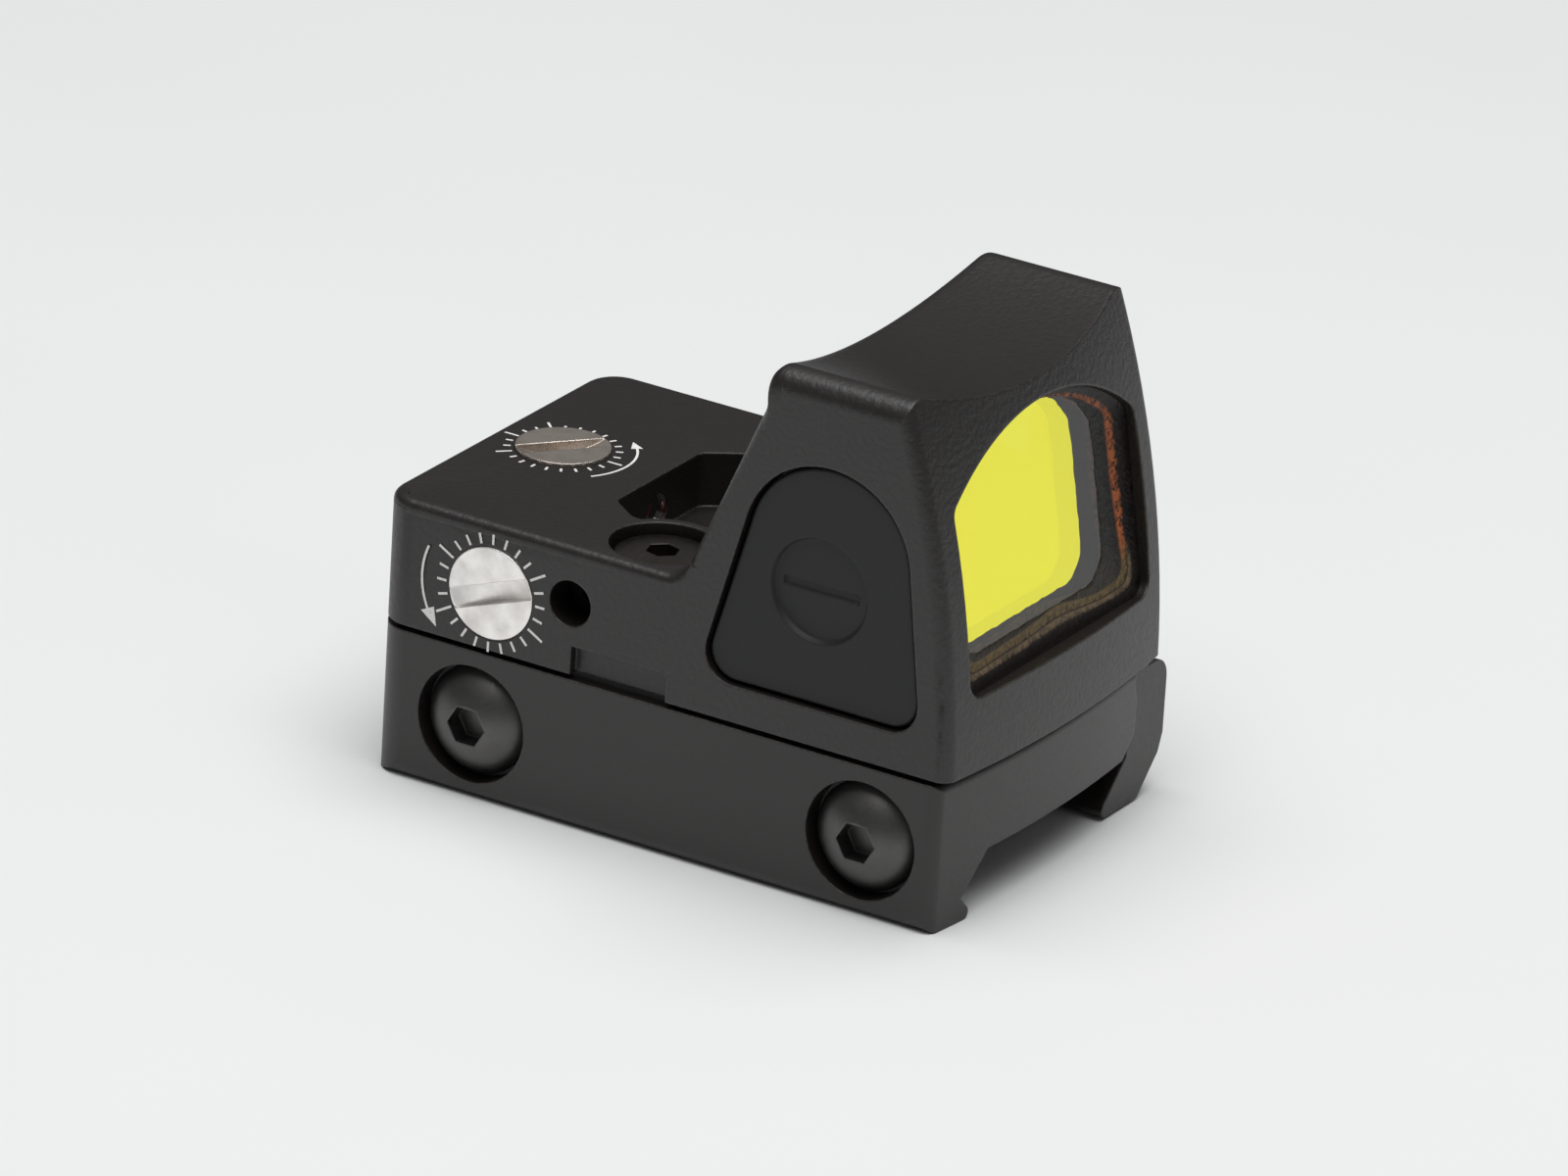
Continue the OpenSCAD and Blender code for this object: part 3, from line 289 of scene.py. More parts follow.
# Brow: the small rolled lip along the hood's rear edge, milled from the same block as the housing.
# It follows the hollow of the top, bulges back over the leaning rear face and runs out into it.
HOOD_FOOT_Y, HOOD_LEAN, HOOD_CORNER_R = 0.6, np.radians(22.5), 0.9
EAR_X, EAR_R, EAR_MID_Z, HOLLOW_R = 12.5, 1.5, 30.2, 40
BROW_R, BROW_REACH, BROW_BLEND_R, BROW_DEEP = 0.95, 0.62, 4.0, 1.2
BROW_COLUMNS, NOSE_ROWS, BLEND_ROWS = 241, 14, 12
BROW_INSET, BROW_HEEL, SKIN_SINK = 0.02, 0.5, 0.01


def hood_brow():
    """One section swept along the hood's rear edge: a round nose of radius BROW_R, BROW_REACH behind the
    rear face, and below it a hollow of radius BROW_BLEND_R that is tangent to the nose and to the face."""
    x = (SIDE_X - BROW_INSET) * np.sin(np.linspace(-np.pi / 2, np.pi / 2, BROW_COLUMNS))
    hollow_z = EAR_MID_Z + np.sqrt((HOLLOW_R + EAR_R) ** 2 - EAR_X ** 2)
    ear = np.abs(x) > EAR_X * HOLLOW_R / (HOLLOW_R + EAR_R)
    top = np.where(ear, EAR_MID_Z + np.sqrt(np.maximum(EAR_R ** 2 - (np.abs(x) - EAR_X) ** 2, 0)),
                   hollow_z - np.sqrt(HOLLOW_R ** 2 - x ** 2))
    out = np.clip(np.abs(x) - SIDE_X + HOOD_CORNER_R, 0, None)
    recess = HOOD_CORNER_R - np.sqrt(HOOD_CORNER_R ** 2 - out ** 2)
    across = np.array([-np.cos(HOOD_LEAN), np.sin(HOOD_LEAN)])
    along = np.array([np.sin(HOOD_LEAN), np.cos(HOOD_LEAN)])
    nose = np.array([(BROW_R * (1 - np.sin(HOOD_LEAN)) - BROW_REACH) / np.cos(HOOD_LEAN), -BROW_R])
    span = BROW_BLEND_R + BROW_R
    drop = np.sqrt(span ** 2 - (span - BROW_REACH) ** 2)
    hollow = nose + across * (span - BROW_REACH) - along * drop
    meet = np.arctan2(*(hollow - nose)[::-1])
    turn = np.linspace(np.pi / 2, meet % (2 * np.pi), NOSE_ROWS)
    back_turn = np.linspace(meet % (2 * np.pi) - np.pi, -HOOD_LEAN, BLEND_ROWS)
    end = hollow - across * BROW_BLEND_R
    section = np.concatenate([
        nose + BROW_R * np.c_[np.cos(turn), np.sin(turn)],
        hollow + BROW_BLEND_R * np.c_[np.cos(back_turn), np.sin(back_turn)][1:],
        [end - across * BROW_DEEP, [BROW_DEEP, -BROW_HEEL], [BROW_DEEP, -BROW_INSET]]])
    edge = np.stack([HOOD_FOOT_Y + (top - DECK_Z) * np.tan(HOOD_LEAN), top], -1) - recess[:, None] * across
    rows = edge[:, None] + section - [0, SKIN_SINK]
    columns = np.broadcast_to(x[:, None, None], rows.shape[:2] + (1,))
    points = np.concatenate([columns, rows], -1).reshape(-1, 3)
    n = len(section)
    i, j = np.meshgrid(np.arange(len(x) - 1), np.arange(n), indexing="ij")
    k = (j + 1) % n
    quads = np.stack([i * n + j, i * n + k, (i + 1) * n + k, (i + 1) * n + j], -1).reshape(-1, 4)
    ends = [list(range(n))[::-1], [len(points) - n + m for m in range(n)]]
    return points, quads.tolist() + ends


brow = piece_of("hood_brow", *hood_brow(), housing_skin, sharp=0.7)
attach(brow, "sight")

# Deck edge: the rounded top edge of the deck, along both sides and round the two rear corners.
# It is part of the same milled block, in a left and a right half.
CORNER_R, DECK_EDGE_R = 2.4, 0.6
REAR_Y, EDGE_END_Y = -22.5, -0.9
EDGE_INNER, EDGE_WALL = 0.1, 0.3
CORNER_STEPS, ROLL_STEPS = 28, 10


def deck_edge(side):
    """The edge's section, a quarter circle over a short wall, turned by 90 degrees about the corner's axis.
    Its ends run on straight, to the middle of the rear edge and to the foot of the hood."""
    quarter = np.concatenate([[0], np.linspace(0, 90, CORNER_STEPS), [90]])
    turn = np.radians(quarter + (180 if side < 0 else -90))
    ends = np.zeros((len(turn), 1, 3))
    ends[0 if side > 0 else -1, 0, 0] = -side * (SIDE_X - CORNER_R)
    ends[-1 if side > 0 else 0, 0, 1] = EDGE_END_Y - REAR_Y - CORNER_R
    roll = np.radians(np.linspace(0, 90, ROLL_STEPS))
    reach = CORNER_R - DECK_EDGE_R - SKIN_SINK + np.concatenate([
        DECK_EDGE_R * np.cos(roll), [-EDGE_INNER, -EDGE_INNER, DECK_EDGE_R]])
    height = DECK_Z - DECK_EDGE_R - SKIN_SINK + np.concatenate([
        DECK_EDGE_R * np.sin(roll), [DECK_EDGE_R, -EDGE_WALL, -EDGE_WALL]])
    points = np.stack([side * (SIDE_X - CORNER_R) + reach * np.cos(turn)[:, None],
                       REAR_Y + CORNER_R + reach * np.sin(turn)[:, None],
                       height + 0 * turn[:, None]], -1)
    points = (points + ends).reshape(-1, 3)
    n = len(reach)
    i, j = np.meshgrid(np.arange(len(turn) - 1), np.arange(n), indexing="ij")
    k = (j + 1) % n
    quads = np.stack([i * n + j, (i + 1) * n + j, (i + 1) * n + k, i * n + k], -1).reshape(-1, 4)
    return points, quads.tolist() + [list(range(n)), [len(points) - 1 - m for m in range(n)]]


for side, name in ((1, "right_deck_edge"), (-1, "left_deck_edge")):
    made = piece_of(name, *deck_edge(side), housing_skin, sharp=0.7)
    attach(made, "sight")

# Battery and circuit: a 20 mm coin cell under a small board, which a leaf contact joins.
# Two printed ribbons lead out to the snap domes behind the buttons, and a ring gasket seals the cell.


def patterned(name, colour, lines, pitch_mm, share, rough):
    """Laminate or film with printed lines: a fine band pattern in another colour under a thin gloss."""
    made, tree = new_material(name)
    bands_per_unit, blur, print_mm = 20, 0.02, 0.01
    place = node(tree, "TexCoord").outputs["Object"]
    bands = node(tree, "TexWave", {
        "Vector": place, "Scale": 1 / (pitch_mm * MM) / bands_per_unit, "Distortion": 1.0})
    print_on = node(tree, "MapRange", {
        "Value": bands.outputs["Fac"], "From Min": 1 - share, "From Max": 1 + blur - share})
    tone = node(tree, "Mix", {0: print_on, 6: srgb(colour), 7: srgb(lines)}, data_type="RGBA")
    bump = node(tree, "Bump", {"Height": print_on, "Distance": print_mm * MM})
    shader = node(tree, "BsdfPrincipled", {
        "Base Color": tone.outputs[2], "Roughness": rough, "Normal": bump, "IOR": 1.5})
    node(tree, "OutputMaterial", {"Surface": shader})
    return made


coat(patterned("solder_mask_board", "#1f5a30", "#3a7d46", pitch_mm=0.8, share=0.3, rough=0.35),
     "circuit_board")
coat(patterned("copper_on_film", "#a86c22", "#d08a3c", pitch_mm=0.6, share=0.4, rough=0.3),
     "right_switch_flex", "left_switch_flex")
coat(soft_sheet("moulded_epoxy", "#1d1d1e", "#242425", grain_mm=0.06, depth_mm=0.004, rough=0.5),
     "controller_chip")
coat(metal("nickel_plated_can", "#c8c8c6", "#b4b4b1",
           rough=0.25, streak_mm=0.12, length_mm=3.0, depth_mm=0.002, edge_mm=0.15),
     "battery")
coat(metal("bright_spring_steel", "#bdbbb7", "#a5a39f",
           rough=0.22, streak_mm=0.1, length_mm=1.5, depth_mm=0.002, edge_mm=0.08),
     "right_snap_dome", "left_snap_dome", "elevation_spring", "elevation_washer", "windage_washer",
     "elevation_clip", "windage_clip")
coat(soft_sheet("nitrile_rubber", "#161616", "#1d1d1d", grain_mm=0.1, depth_mm=0.004, rough=0.55),
     "base_gasket", "elevation_oring", "windage_oring")
coat(metal("free_cutting_brass", "#c9a04a", "#a98236",
           rough=0.3, streak_mm=0.12, length_mm=1.2, depth_mm=0.003, edge_mm=0.12),
     "elevation_slide", "windage_nut", "battery_contact")

# Elevation spring: a small steel spring between the floor of the housing and the elevation slide.
# It takes up the play of the screw, and it shortens as the slide goes down.
MERGE_MM = 0.001


def squeezed_spring():
    """The CAD node's shape, merged, in place of the hidden CAD node."""
    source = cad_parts["elevation_spring"]
    mesh = source.data.copy()
    mesh.transform(source.matrix_world)
    shape = bmesh.new()
    shape.from_mesh(mesh)
    bmesh.ops.remove_doubles(shape, verts=shape.verts, dist=MERGE_MM * MM)
    shape.to_mesh(mesh)
    shape.free()
    made = bpy.data.objects.new("elevation_spring_wire", mesh)
    bpy.context.collection.objects.link(made)
    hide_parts("elevation_spring")
    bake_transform(made)


squeezed_spring()

# Emitter: a red diode on an aluminium block, behind a small clear window in the end of the light channel.
# The block slides on the elevation nut, and the windage nut carries it sideways.
SMEAR_MM = 3
coat(metal("milled_aluminium", "#a3a3a5", "#8c8c8f",
           rough=0.38, streak_mm=0.15, length_mm=2.0, depth_mm=0.004, edge_mm=0.12),
     "emitter_block")


def gloss_cast(name, colour, deep, rough, cloud_mm):
    """Cast clear or dyed resin: glossy, with a faintly cloudy depth."""
    made, tree = new_material(name)
    place = node(tree, "TexCoord").outputs["Object"]
    clouds = node(tree, "TexNoise", {"Vector": place, "Scale": 1 / (cloud_mm * MM), "Detail": 3.0})
    tone = node(tree, "Mix", {0: clouds, 6: srgb(colour), 7: srgb(deep)}, data_type="RGBA")
    shader = node(tree, "BsdfPrincipled", {"Base Color": tone.outputs[2], "Roughness": rough, "IOR": 1.5})
    node(tree, "OutputMaterial", {"Surface": shader})
    return made


def clear_pane(name, tint, ior=1.5):
    """Polished glass that lets the lamps through, so that what lies behind it is lit."""
    made, tree = new_material(name)
    place = node(tree, "TexCoord").outputs["Object"]
    smear = node(tree, "TexNoise", {"Vector": place, "Scale": 1 / (SMEAR_MM * MM), "Detail": 2.0})
    haze = node(tree, "MapRange", {"Value": smear, "To Min": 0.0, "To Max": 0.03})
    bent = node(tree, "BsdfPrincipled", {
        "Base Color": srgb(tint), "Transmission Weight": 1.0, "Roughness": haze, "IOR": ior})
    open_way = node(tree, "BsdfTransparent", {"Color": srgb(tint)})
    shade = node(tree, "LightPath").outputs["Is Shadow Ray"]
    shader = node(tree, "MixShader", {0: shade, 1: bent, 2: open_way})
    node(tree, "OutputMaterial", {"Surface": shader})
    return made


coat(gloss_cast("red_diode_resin", "#b3140d", "#7d0d08", rough=0.12, cloud_mm=0.6), "emitter_diode")
coat(clear_pane("clear_window_glass", "#eef4f5"), "emitter_window")

# Adjusters: two slotted screws with a coin slot, turned from steel and nickel plated.
# Each is held by a clip under its bore and sealed by a ring, and turning it moves the emitter.


def turned_face(name, colour, dull, rough, centre, axis, ring_mm):
    """Plated steel faced on a lathe: fine rings about the screw's axis catch the light in a fan.
    axis is 1 for the two directions across the screw and 0 along it. The rings are drawn coarser than
    the cutter's feed, so that they show."""
    made, tree = new_material(name)
    cloud_mm, edge_mm, groove_mm, smoother, duller = 1.6, 0.15, 0.004, 0.1, 0.15
    place = node(tree, "TexCoord").outputs["Object"]
    offset = node(tree, "VectorMath", {0: place, 1: tuple(c * MM for c in centre)}, operation="SUBTRACT")
    plane = node(tree, "VectorMath", {0: offset, 1: axis}, operation="MULTIPLY")
    reach = node(tree, "VectorMath", {0: plane}, operation="LENGTH").outputs["Value"]
    count = node(tree, "Math", {0: reach, 1: 1 / (ring_mm * MM)}, operation="MULTIPLY")
    rings = node(tree, "TexNoise", {"W": count, "Scale": 1.0, "Detail": 2.0}, noise_dimensions="1D")
    clouds = node(tree, "TexNoise", {"Vector": place, "Scale": 1 / (cloud_mm * MM), "Detail": 5.0})
    stain = node(tree, "MapRange", {"Value": clouds, "From Min": 0.4, "From Max": 0.7})
    tone = node(tree, "Mix", {0: stain, 6: srgb(colour), 7: srgb(dull)}, data_type="RGBA")
    gloss = node(tree, "MapRange", {"Value": clouds, "To Min": rough - smoother, "To Max": rough + duller})
    rounded = node(tree, "Bevel", {"Radius": edge_mm * MM}, samples=6)
    bump = node(tree, "Bump", {"Height": rings, "Distance": groove_mm * MM, "Normal": rounded})
    shader = node(tree, "BsdfPrincipled", {
        "Base Color": tone.outputs[2], "Metallic": 1.0, "Roughness": gloss, "Normal": bump})
    node(tree, "OutputMaterial", {"Surface": shader})
    return made


coat(turned_face("nickel_elevation_face", "#e0d6cc", "#b0a69d", rough=0.36,
                 centre=(*ELEVATION, 0), axis=(1, 1, 0), ring_mm=0.09),
     "elevation_screw")
coat(turned_face("nickel_windage_face", "#f7f4f0", "#dcd8d4", rough=0.3,
                 centre=(0, *WINDAGE), axis=(0, 1, 1), ring_mm=0.09),
     "windage_screw")

# Sight screws and lock screw: two socket screws hold the sight down on its mount.
# A small set screw deep in the right side locks the windage. All are steel.
coat(metal("dull_screw_steel", "#5a5550", "#3d3936",
           rough=0.38, streak_mm=0.15, length_mm=0.8, depth_mm=0.004, edge_mm=0.15),
     "sight_screws")
coat(metal("oiled_set_screw", "#2a2827", "#1f1d1c",
           rough=0.45, streak_mm=0.2, length_mm=0.4, depth_mm=0.004, edge_mm=0.12),
     "lock_screw")

# Buttons: one soft pad in each side, moulded in black rubber with a finger dish and a sign.
# A pad lies loose in its pocket, and its stem presses the snap dome behind it.
PAD_CORNERS = ((5.05, 11.2, 2.15), (16.85, 11.2, 2.15), (11.55, 19.65, 6.3))
PAD_GAP = 0.2
PAD_FACE, PAD_BACK, PAD_STEM = 13.65, 12.95, 12.62
PAD_EDGE_R = 0.28
DISH_MID, DISH_R, DISH_DEPTH, DISH_LIP = (10.95, 17.15), 3.55, 0.36, 0.16
SIGN_L, SIGN_W, SIGN_DEPTH, SIGN_LIP = 5.7, 0.6, 0.2, 0.12
STEM_R, POLE_R = 1.2, 0.02
DISH_MARGIN = 0.5
AROUND, DISH_ROWS, FIELD_ROWS, EDGE_ROWS = 216, 90, 14, 9


def belt(circles, grow):
    """Outline of a belt round circles, each a centre and a radius: arcs between shared tangents."""
    arc_points, loop_points = 60, 1200
    c = np.array(circles, float)
    c[:, 2] += grow
    way = np.roll(c[:, :2], -1, 0) - c[:, :2]
    length = np.hypot(*way.T)
    lean = np.arcsin((c[:, 2] - np.roll(c[:, 2], -1)) / length)
    leave = np.arctan2(way[:, 1], way[:, 0]) - np.pi / 2 + lean
    enter = np.roll(leave, 1)
    sweep = (leave - enter) % (2 * np.pi)
    turn = enter[:, None] + sweep[:, None] * np.linspace(0, 1, arc_points)
    arcs = np.stack([c[:, :1] + c[:, 2:] * np.cos(turn), c[:, 1:2] + c[:, 2:] * np.sin(turn)], -1)
    return evenly(arcs.reshape(-1, 2), loop_points)


def evenly(loop, n):
    """n points at even distances along a closed line."""
    loop = np.concatenate([loop, loop[:1]])
    run = np.concatenate([[0], np.cumsum(np.hypot(*np.diff(loop, axis=0).T))])
    even = np.linspace(0, run[-1], n, endpoint=False)
    return np.c_[np.interp(even, run, loop[:, 0]), np.interp(even, run, loop[:, 1])]


def step(low, high, value):
    """Smooth rise from 0 at low to 1 at high."""
    t = np.clip((value - low) / (high - low), 0, 1)
    return t * t * (3 - 2 * t)


def ring_skin(rows, columns):
    """Faces between rows of points that run round a closed outline, with the two ends left open."""
    i, j = np.meshgrid(np.arange(rows - 1), np.arange(columns), indexing="ij")
    k = (j + 1) % columns
    quads = np.stack([i * columns + j, i * columns + k, (i + 1) * columns + k, (i + 1) * columns + j], -1)
    return quads.reshape(-1, 4)


def button_pad(name, button, side, signs):
    """The pad's face is a height over its outline: a dish with a soft lip, and the sign pressed into it.
    Outside the face it rolls over a round edge to the back, and the stem stands behind the dish.
    signs gives each bar of the sign as distances along it and across it."""
    rim = belt(PAD_CORNERS, -PAD_GAP) - DISH_MID
    turn = np.linspace(0, 2 * np.pi, AROUND, endpoint=False)
    angle = np.arctan2(rim[:, 1], rim[:, 0])
    order = np.argsort(angle)
    reach = np.interp(turn, angle[order], np.hypot(*rim[order].T), period=2 * np.pi)
    inner = DISH_R + DISH_MARGIN
    radii = np.concatenate([
        np.linspace(POLE_R, inner, DISH_ROWS)[:, None] * np.ones(AROUND),
        inner + np.linspace(0, 1, FIELD_ROWS)[1:, None] * (reach - PAD_EDGE_R - inner)])
    y, z = radii * np.cos(turn), radii * np.sin(turn)
    x = PAD_FACE - DISH_DEPTH * (1 - step(DISH_R - DISH_LIP, DISH_R + DISH_LIP, radii))
    bars = [(1 - step((SIGN_L - SIGN_LIP) / 2, (SIGN_L + SIGN_LIP) / 2, abs(a)))
            * (1 - step((SIGN_W - SIGN_LIP) / 2, (SIGN_W + SIGN_LIP) / 2, abs(b))) for a, b in signs(y, z)]
    x = x - SIGN_DEPTH * np.max(bars, 0)
    roll = np.radians(np.linspace(0, 90, EDGE_ROWS))[1:, None]
    edge = [reach - PAD_EDGE_R + PAD_EDGE_R * np.sin(roll),
            PAD_FACE - PAD_EDGE_R * (1 - np.cos(roll)) + 0 * turn]
    back = [np.stack([reach, np.full(AROUND, STEM_R), np.full(AROUND, STEM_R), np.full(AROUND, POLE_R)]),
            np.array([PAD_BACK, PAD_BACK, PAD_STEM, PAD_STEM])[:, None] + 0 * turn]
    rows = np.concatenate([radii, edge[0], back[0]])
    x = np.concatenate([x, edge[1], back[1]])
    y, z = DISH_MID[0] + rows * np.cos(turn), DISH_MID[1] + rows * np.sin(turn)
    points = np.stack([side * x, y, z], -1).reshape(-1, 3)
    faces = ring_skin(len(rows), AROUND)
    caps = [list(range(AROUND))[::-1], [len(points) - AROUND + k for k in range(AROUND)]]
    faces = [f[::-1] if side > 0 else f for f in faces.tolist() + caps]
    made = piece_of(name, points, faces, pad_rubber)
    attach(made, button)
    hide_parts(button)


pad_rubber = soft_sheet("moulded_silicone_rubber", "#161616", "#1a1a1a",
                        grain_mm=0.09, depth_mm=0.004, rough=0.6)
button_pad("right_button_pad", "right_button", 1, lambda y, z: [(y, z)])
button_pad("left_button_pad", "left_button", -1, lambda y, z: [(y, z), (z, y)])

# Lens: a thick tilted glass with ground edges, two layers cemented over a yellow mirror coating.
# It sits on a shoulder behind the window, and epoxy is smeared over its edges.
WINDOW_HALF, WINDOW_TOP, ARCH_R, FOOT_R, KNEE_R = 11.6, 8.55, 17.9, 1.3, 1.2
SEAT = (0, 15.762, 19.2)
TILT = np.radians(10)
LENS_T, LENS_COAT, LENS_GAP, LENS_CHAMFER, CEMENT_T = 3.4, 1.4, 0.35, 0.12, 0.02
FACE_INNER = 0.3
OUTLINE = 360
EDGE_FOLD_MM, EDGE_FOLD_LONG_MM, EDGE_FOLD_DEEP_MM = 0.45, 0.9, 0.15
COATING_DRIFT_MM = 14


def window_ring(grow, corner=None):
    """Outline of the window about the lens's middle: flat foot, upright sides, arched top, round corners.
    grow widens it, and corner sets one radius for all its corners."""
    half, top = WINDOW_HALF + grow, WINDOW_TOP + grow
    arch, foot, knee = ARCH_R + grow, corner or FOOT_R + grow, corner or KNEE_R + grow
    arch_y, knee_x = top - arch, half - knee
    knee_y = arch_y + np.sqrt((arch - knee) ** 2 - knee_x ** 2)
    lean = np.arctan2(knee_y - arch_y, knee_x)

    def arc(x, y, r, start, end, n):
        """n points along an arc about x, y."""
        t = np.linspace(start, end, n)
        return np.c_[x + r * np.cos(t), y + r * np.sin(t)]

    right = np.concatenate([
        arc(half - foot, -top + foot, foot, -np.pi / 2, 0, 16),
        arc(knee_x, knee_y, knee, 0, lean, 12),
        arc(0, arch_y, arch, lean, np.pi / 2, 60)])
    return evenly(np.concatenate([right, (right * [-1, 1])[::-1]]), OUTLINE)


def at_lens(outline, depth):
    """Places outlines on the tilted seat, raised by depth towards the window."""
    u, v = outline[..., 0], outline[..., 1]
    return np.stack([u + 0 * depth,
                     SEAT[1] - np.sin(TILT) * v + np.cos(TILT) * depth,
                     SEAT[2] + np.cos(TILT) * v + np.sin(TILT) * depth], -1)


def edge_epoxy():
    """Epoxy on the ground edge: dark, glossy and wrinkled where it was wiped, with painted shade in the
    hollows of the folds and a painted highlight on their ridges.
    """
    made, tree = new_material("epoxy_on_ground_edge")
    place = node(tree, "TexCoord").outputs["Object"]
    across, along = 1 / (EDGE_FOLD_MM * MM), 1 / (EDGE_FOLD_LONG_MM * MM)
    run = node(tree, "Mapping", {"Vector": place, "Scale": (across, across, along)})
    folds = node(tree, "TexNoise", {"Vector": run, "Scale": 1.0, "Detail": 4.0, "Distortion": 1.2})
    # Painted shade and highlight: the colour follows the folds' height, dark in the hollows and paler on the
    # ridges.
    tone = node(tree, "ValToRGB", {0: folds}, stops=((0.4, "#151413"), (0.68, "#383430")))
    bump = node(tree, "Bump", {"Height": folds, "Distance": EDGE_FOLD_DEEP_MM * MM})
    shader = node(tree, "BsdfPrincipled", {"Base Color": tone, "Roughness": 0.3, "Normal": bump, "IOR": 1.55})
    node(tree, "OutputMaterial", {"Surface": shader})
    return made


def mirror_coating():
    """Thin layered coating. It mirrors yellow light, nearly all of it where it is seen at a slant,
    and lets the rest pass as a faint blue; its thickness drifts across the glass."""
    made, tree = new_material("yellow_mirror_coating")
    place = node(tree, "TexCoord").outputs["Object"]
    drift = node(tree, "TexNoise", {"Vector": place, "Scale": 1 / (COATING_DRIFT_MM * MM), "Detail": 1.0})
    tone = node(tree, "Mix", {0: drift, 6: srgb("#fffd06"), 7: srgb("#fff824")}, data_type="RGBA")
    bright = node(tree, "BsdfPrincipled", {
        "Base Color": tone.outputs[2], "Metallic": 1.0, "Roughness": 0.03})
    clear = node(tree, "BsdfTransparent", {"Color": srgb("#dbe3f5")})
    slant = node(tree, "LayerWeight", {"Blend": 0.5}).outputs["Facing"]
    cover = node(tree, "MapRange", {
        "Value": slant, "From Min": 0.0, "From Max": 0.16, "To Min": 0.35, "To Max": 0.98})
    shader = node(tree, "MixShader", {0: cover, 1: clear, 2: bright})
    node(tree, "OutputMaterial", {"Surface": shader})
    return made


def rear_glass():
    """The rear half of the lens, cemented on: it adds only a faint tint and a weak gloss of its own."""
    made, tree = new_material("cemented_rear_glass")
    place = node(tree, "TexCoord").outputs["Object"]
    smear = node(tree, "TexNoise", {"Vector": place, "Scale": 1 / (SMEAR_MM * MM), "Detail": 2.0})
    tint = node(tree, "Mix", {0: smear, 6: srgb("#f4f8f8"), 7: srgb("#fbfdfd")}, data_type="RGBA")
    clear = node(tree, "BsdfTransparent", {"Color": tint.outputs[2]})
    gloss = node(tree, "BsdfGlossy", {"Roughness": 0.02})
    slant = node(tree, "Fresnel", {"IOR": 1.35})
    shader = node(tree, "MixShader", {0: slant, 1: clear, 2: gloss})
    node(tree, "OutputMaterial", {"Surface": shader})
    return made


def glass_shell(low, high, chamfer):
    """A plate of glass between two depths over the lens's outline: rear face, edge, chamfer and front face.
    A flat cap closes each face inside FACE_INNER of the outline."""
    rim, inner = window_ring(-LENS_GAP), window_ring(-LENS_GAP - chamfer)
    rings = np.array([rim * FACE_INNER, rim, rim, inner, rim * FACE_INNER])
    depths = np.array([low, low, high - chamfer, high, high])[:, None]
    points = at_lens(rings, depths).reshape(-1, 3)
    faces = ring_skin(len(rings), OUTLINE)[:, ::-1].tolist()
    return points, faces + [list(range(OUTLINE)), [len(points) - 1 - k for k in range(OUTLINE)]]


front, front_faces = glass_shell(LENS_COAT, LENS_T, LENS_CHAMFER)
rear, rear_faces = glass_shell(0, LENS_COAT - CEMENT_T, CEMENT_T)
lens = piece_of("lens_glass", np.concatenate([front, rear]),
                front_faces + [[k + len(front) for k in f] for f in rear_faces],
                clear_pane("dense_lens_glass", "#fdfdf6", 1.55), edge_epoxy(), mirror_coating(), rear_glass(),
                sharp=0.5)
GLASS, EDGE, COATING, REAR = range(4)
front_bands = np.repeat([COATING, EDGE, GLASS, GLASS], OUTLINE).tolist() + [COATING, GLASS]
rear_bands = np.repeat([REAR, EDGE, REAR, REAR], OUTLINE).tolist() + [REAR, REAR]
lens.data.polygons.foreach_set("material_index", front_bands + rear_bands)
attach(lens, "sight")
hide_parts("lens")

# Lens bead: amber epoxy that fills the gap round the glass and laps over its front edge.
# It was laid by hand: broad along the left side and the foot, where it was wiped thin, and narrow elsewhere.
BEAD_THIN, BEAD_WIDE, BEAD_FOOT, BEAD_CLIMB, BEAD_CORNER_R = 0.6, 4.0, 2.4, 0.35, 2.6
BEAD_WALL_GAP, BEAD_EDGE_GAP, BEAD_RIM_GAP = 0.03, 0.33, 0.48
BEAD_LIFT, BEAD_FILM, BEAD_SEAT = 0.04, 0.01, 0.02
RIPPLE_WIDE, RIPPLE_HIGH = 0.008, 0.02
FOOT_Z_HIGH, FOOT_Z_LOW = 15.5, 13.8
FOLD_MM, FOLD_DEEP_MM = 0.4, 0.07
LEFT_FULL, LEFT_NONE = -11, 3
ARCH_LOW, ARCH_HIGH, ARCH_TAKES = 3, 8.5, 0.75
FOOT_FULL, FOOT_NONE = -8, 2


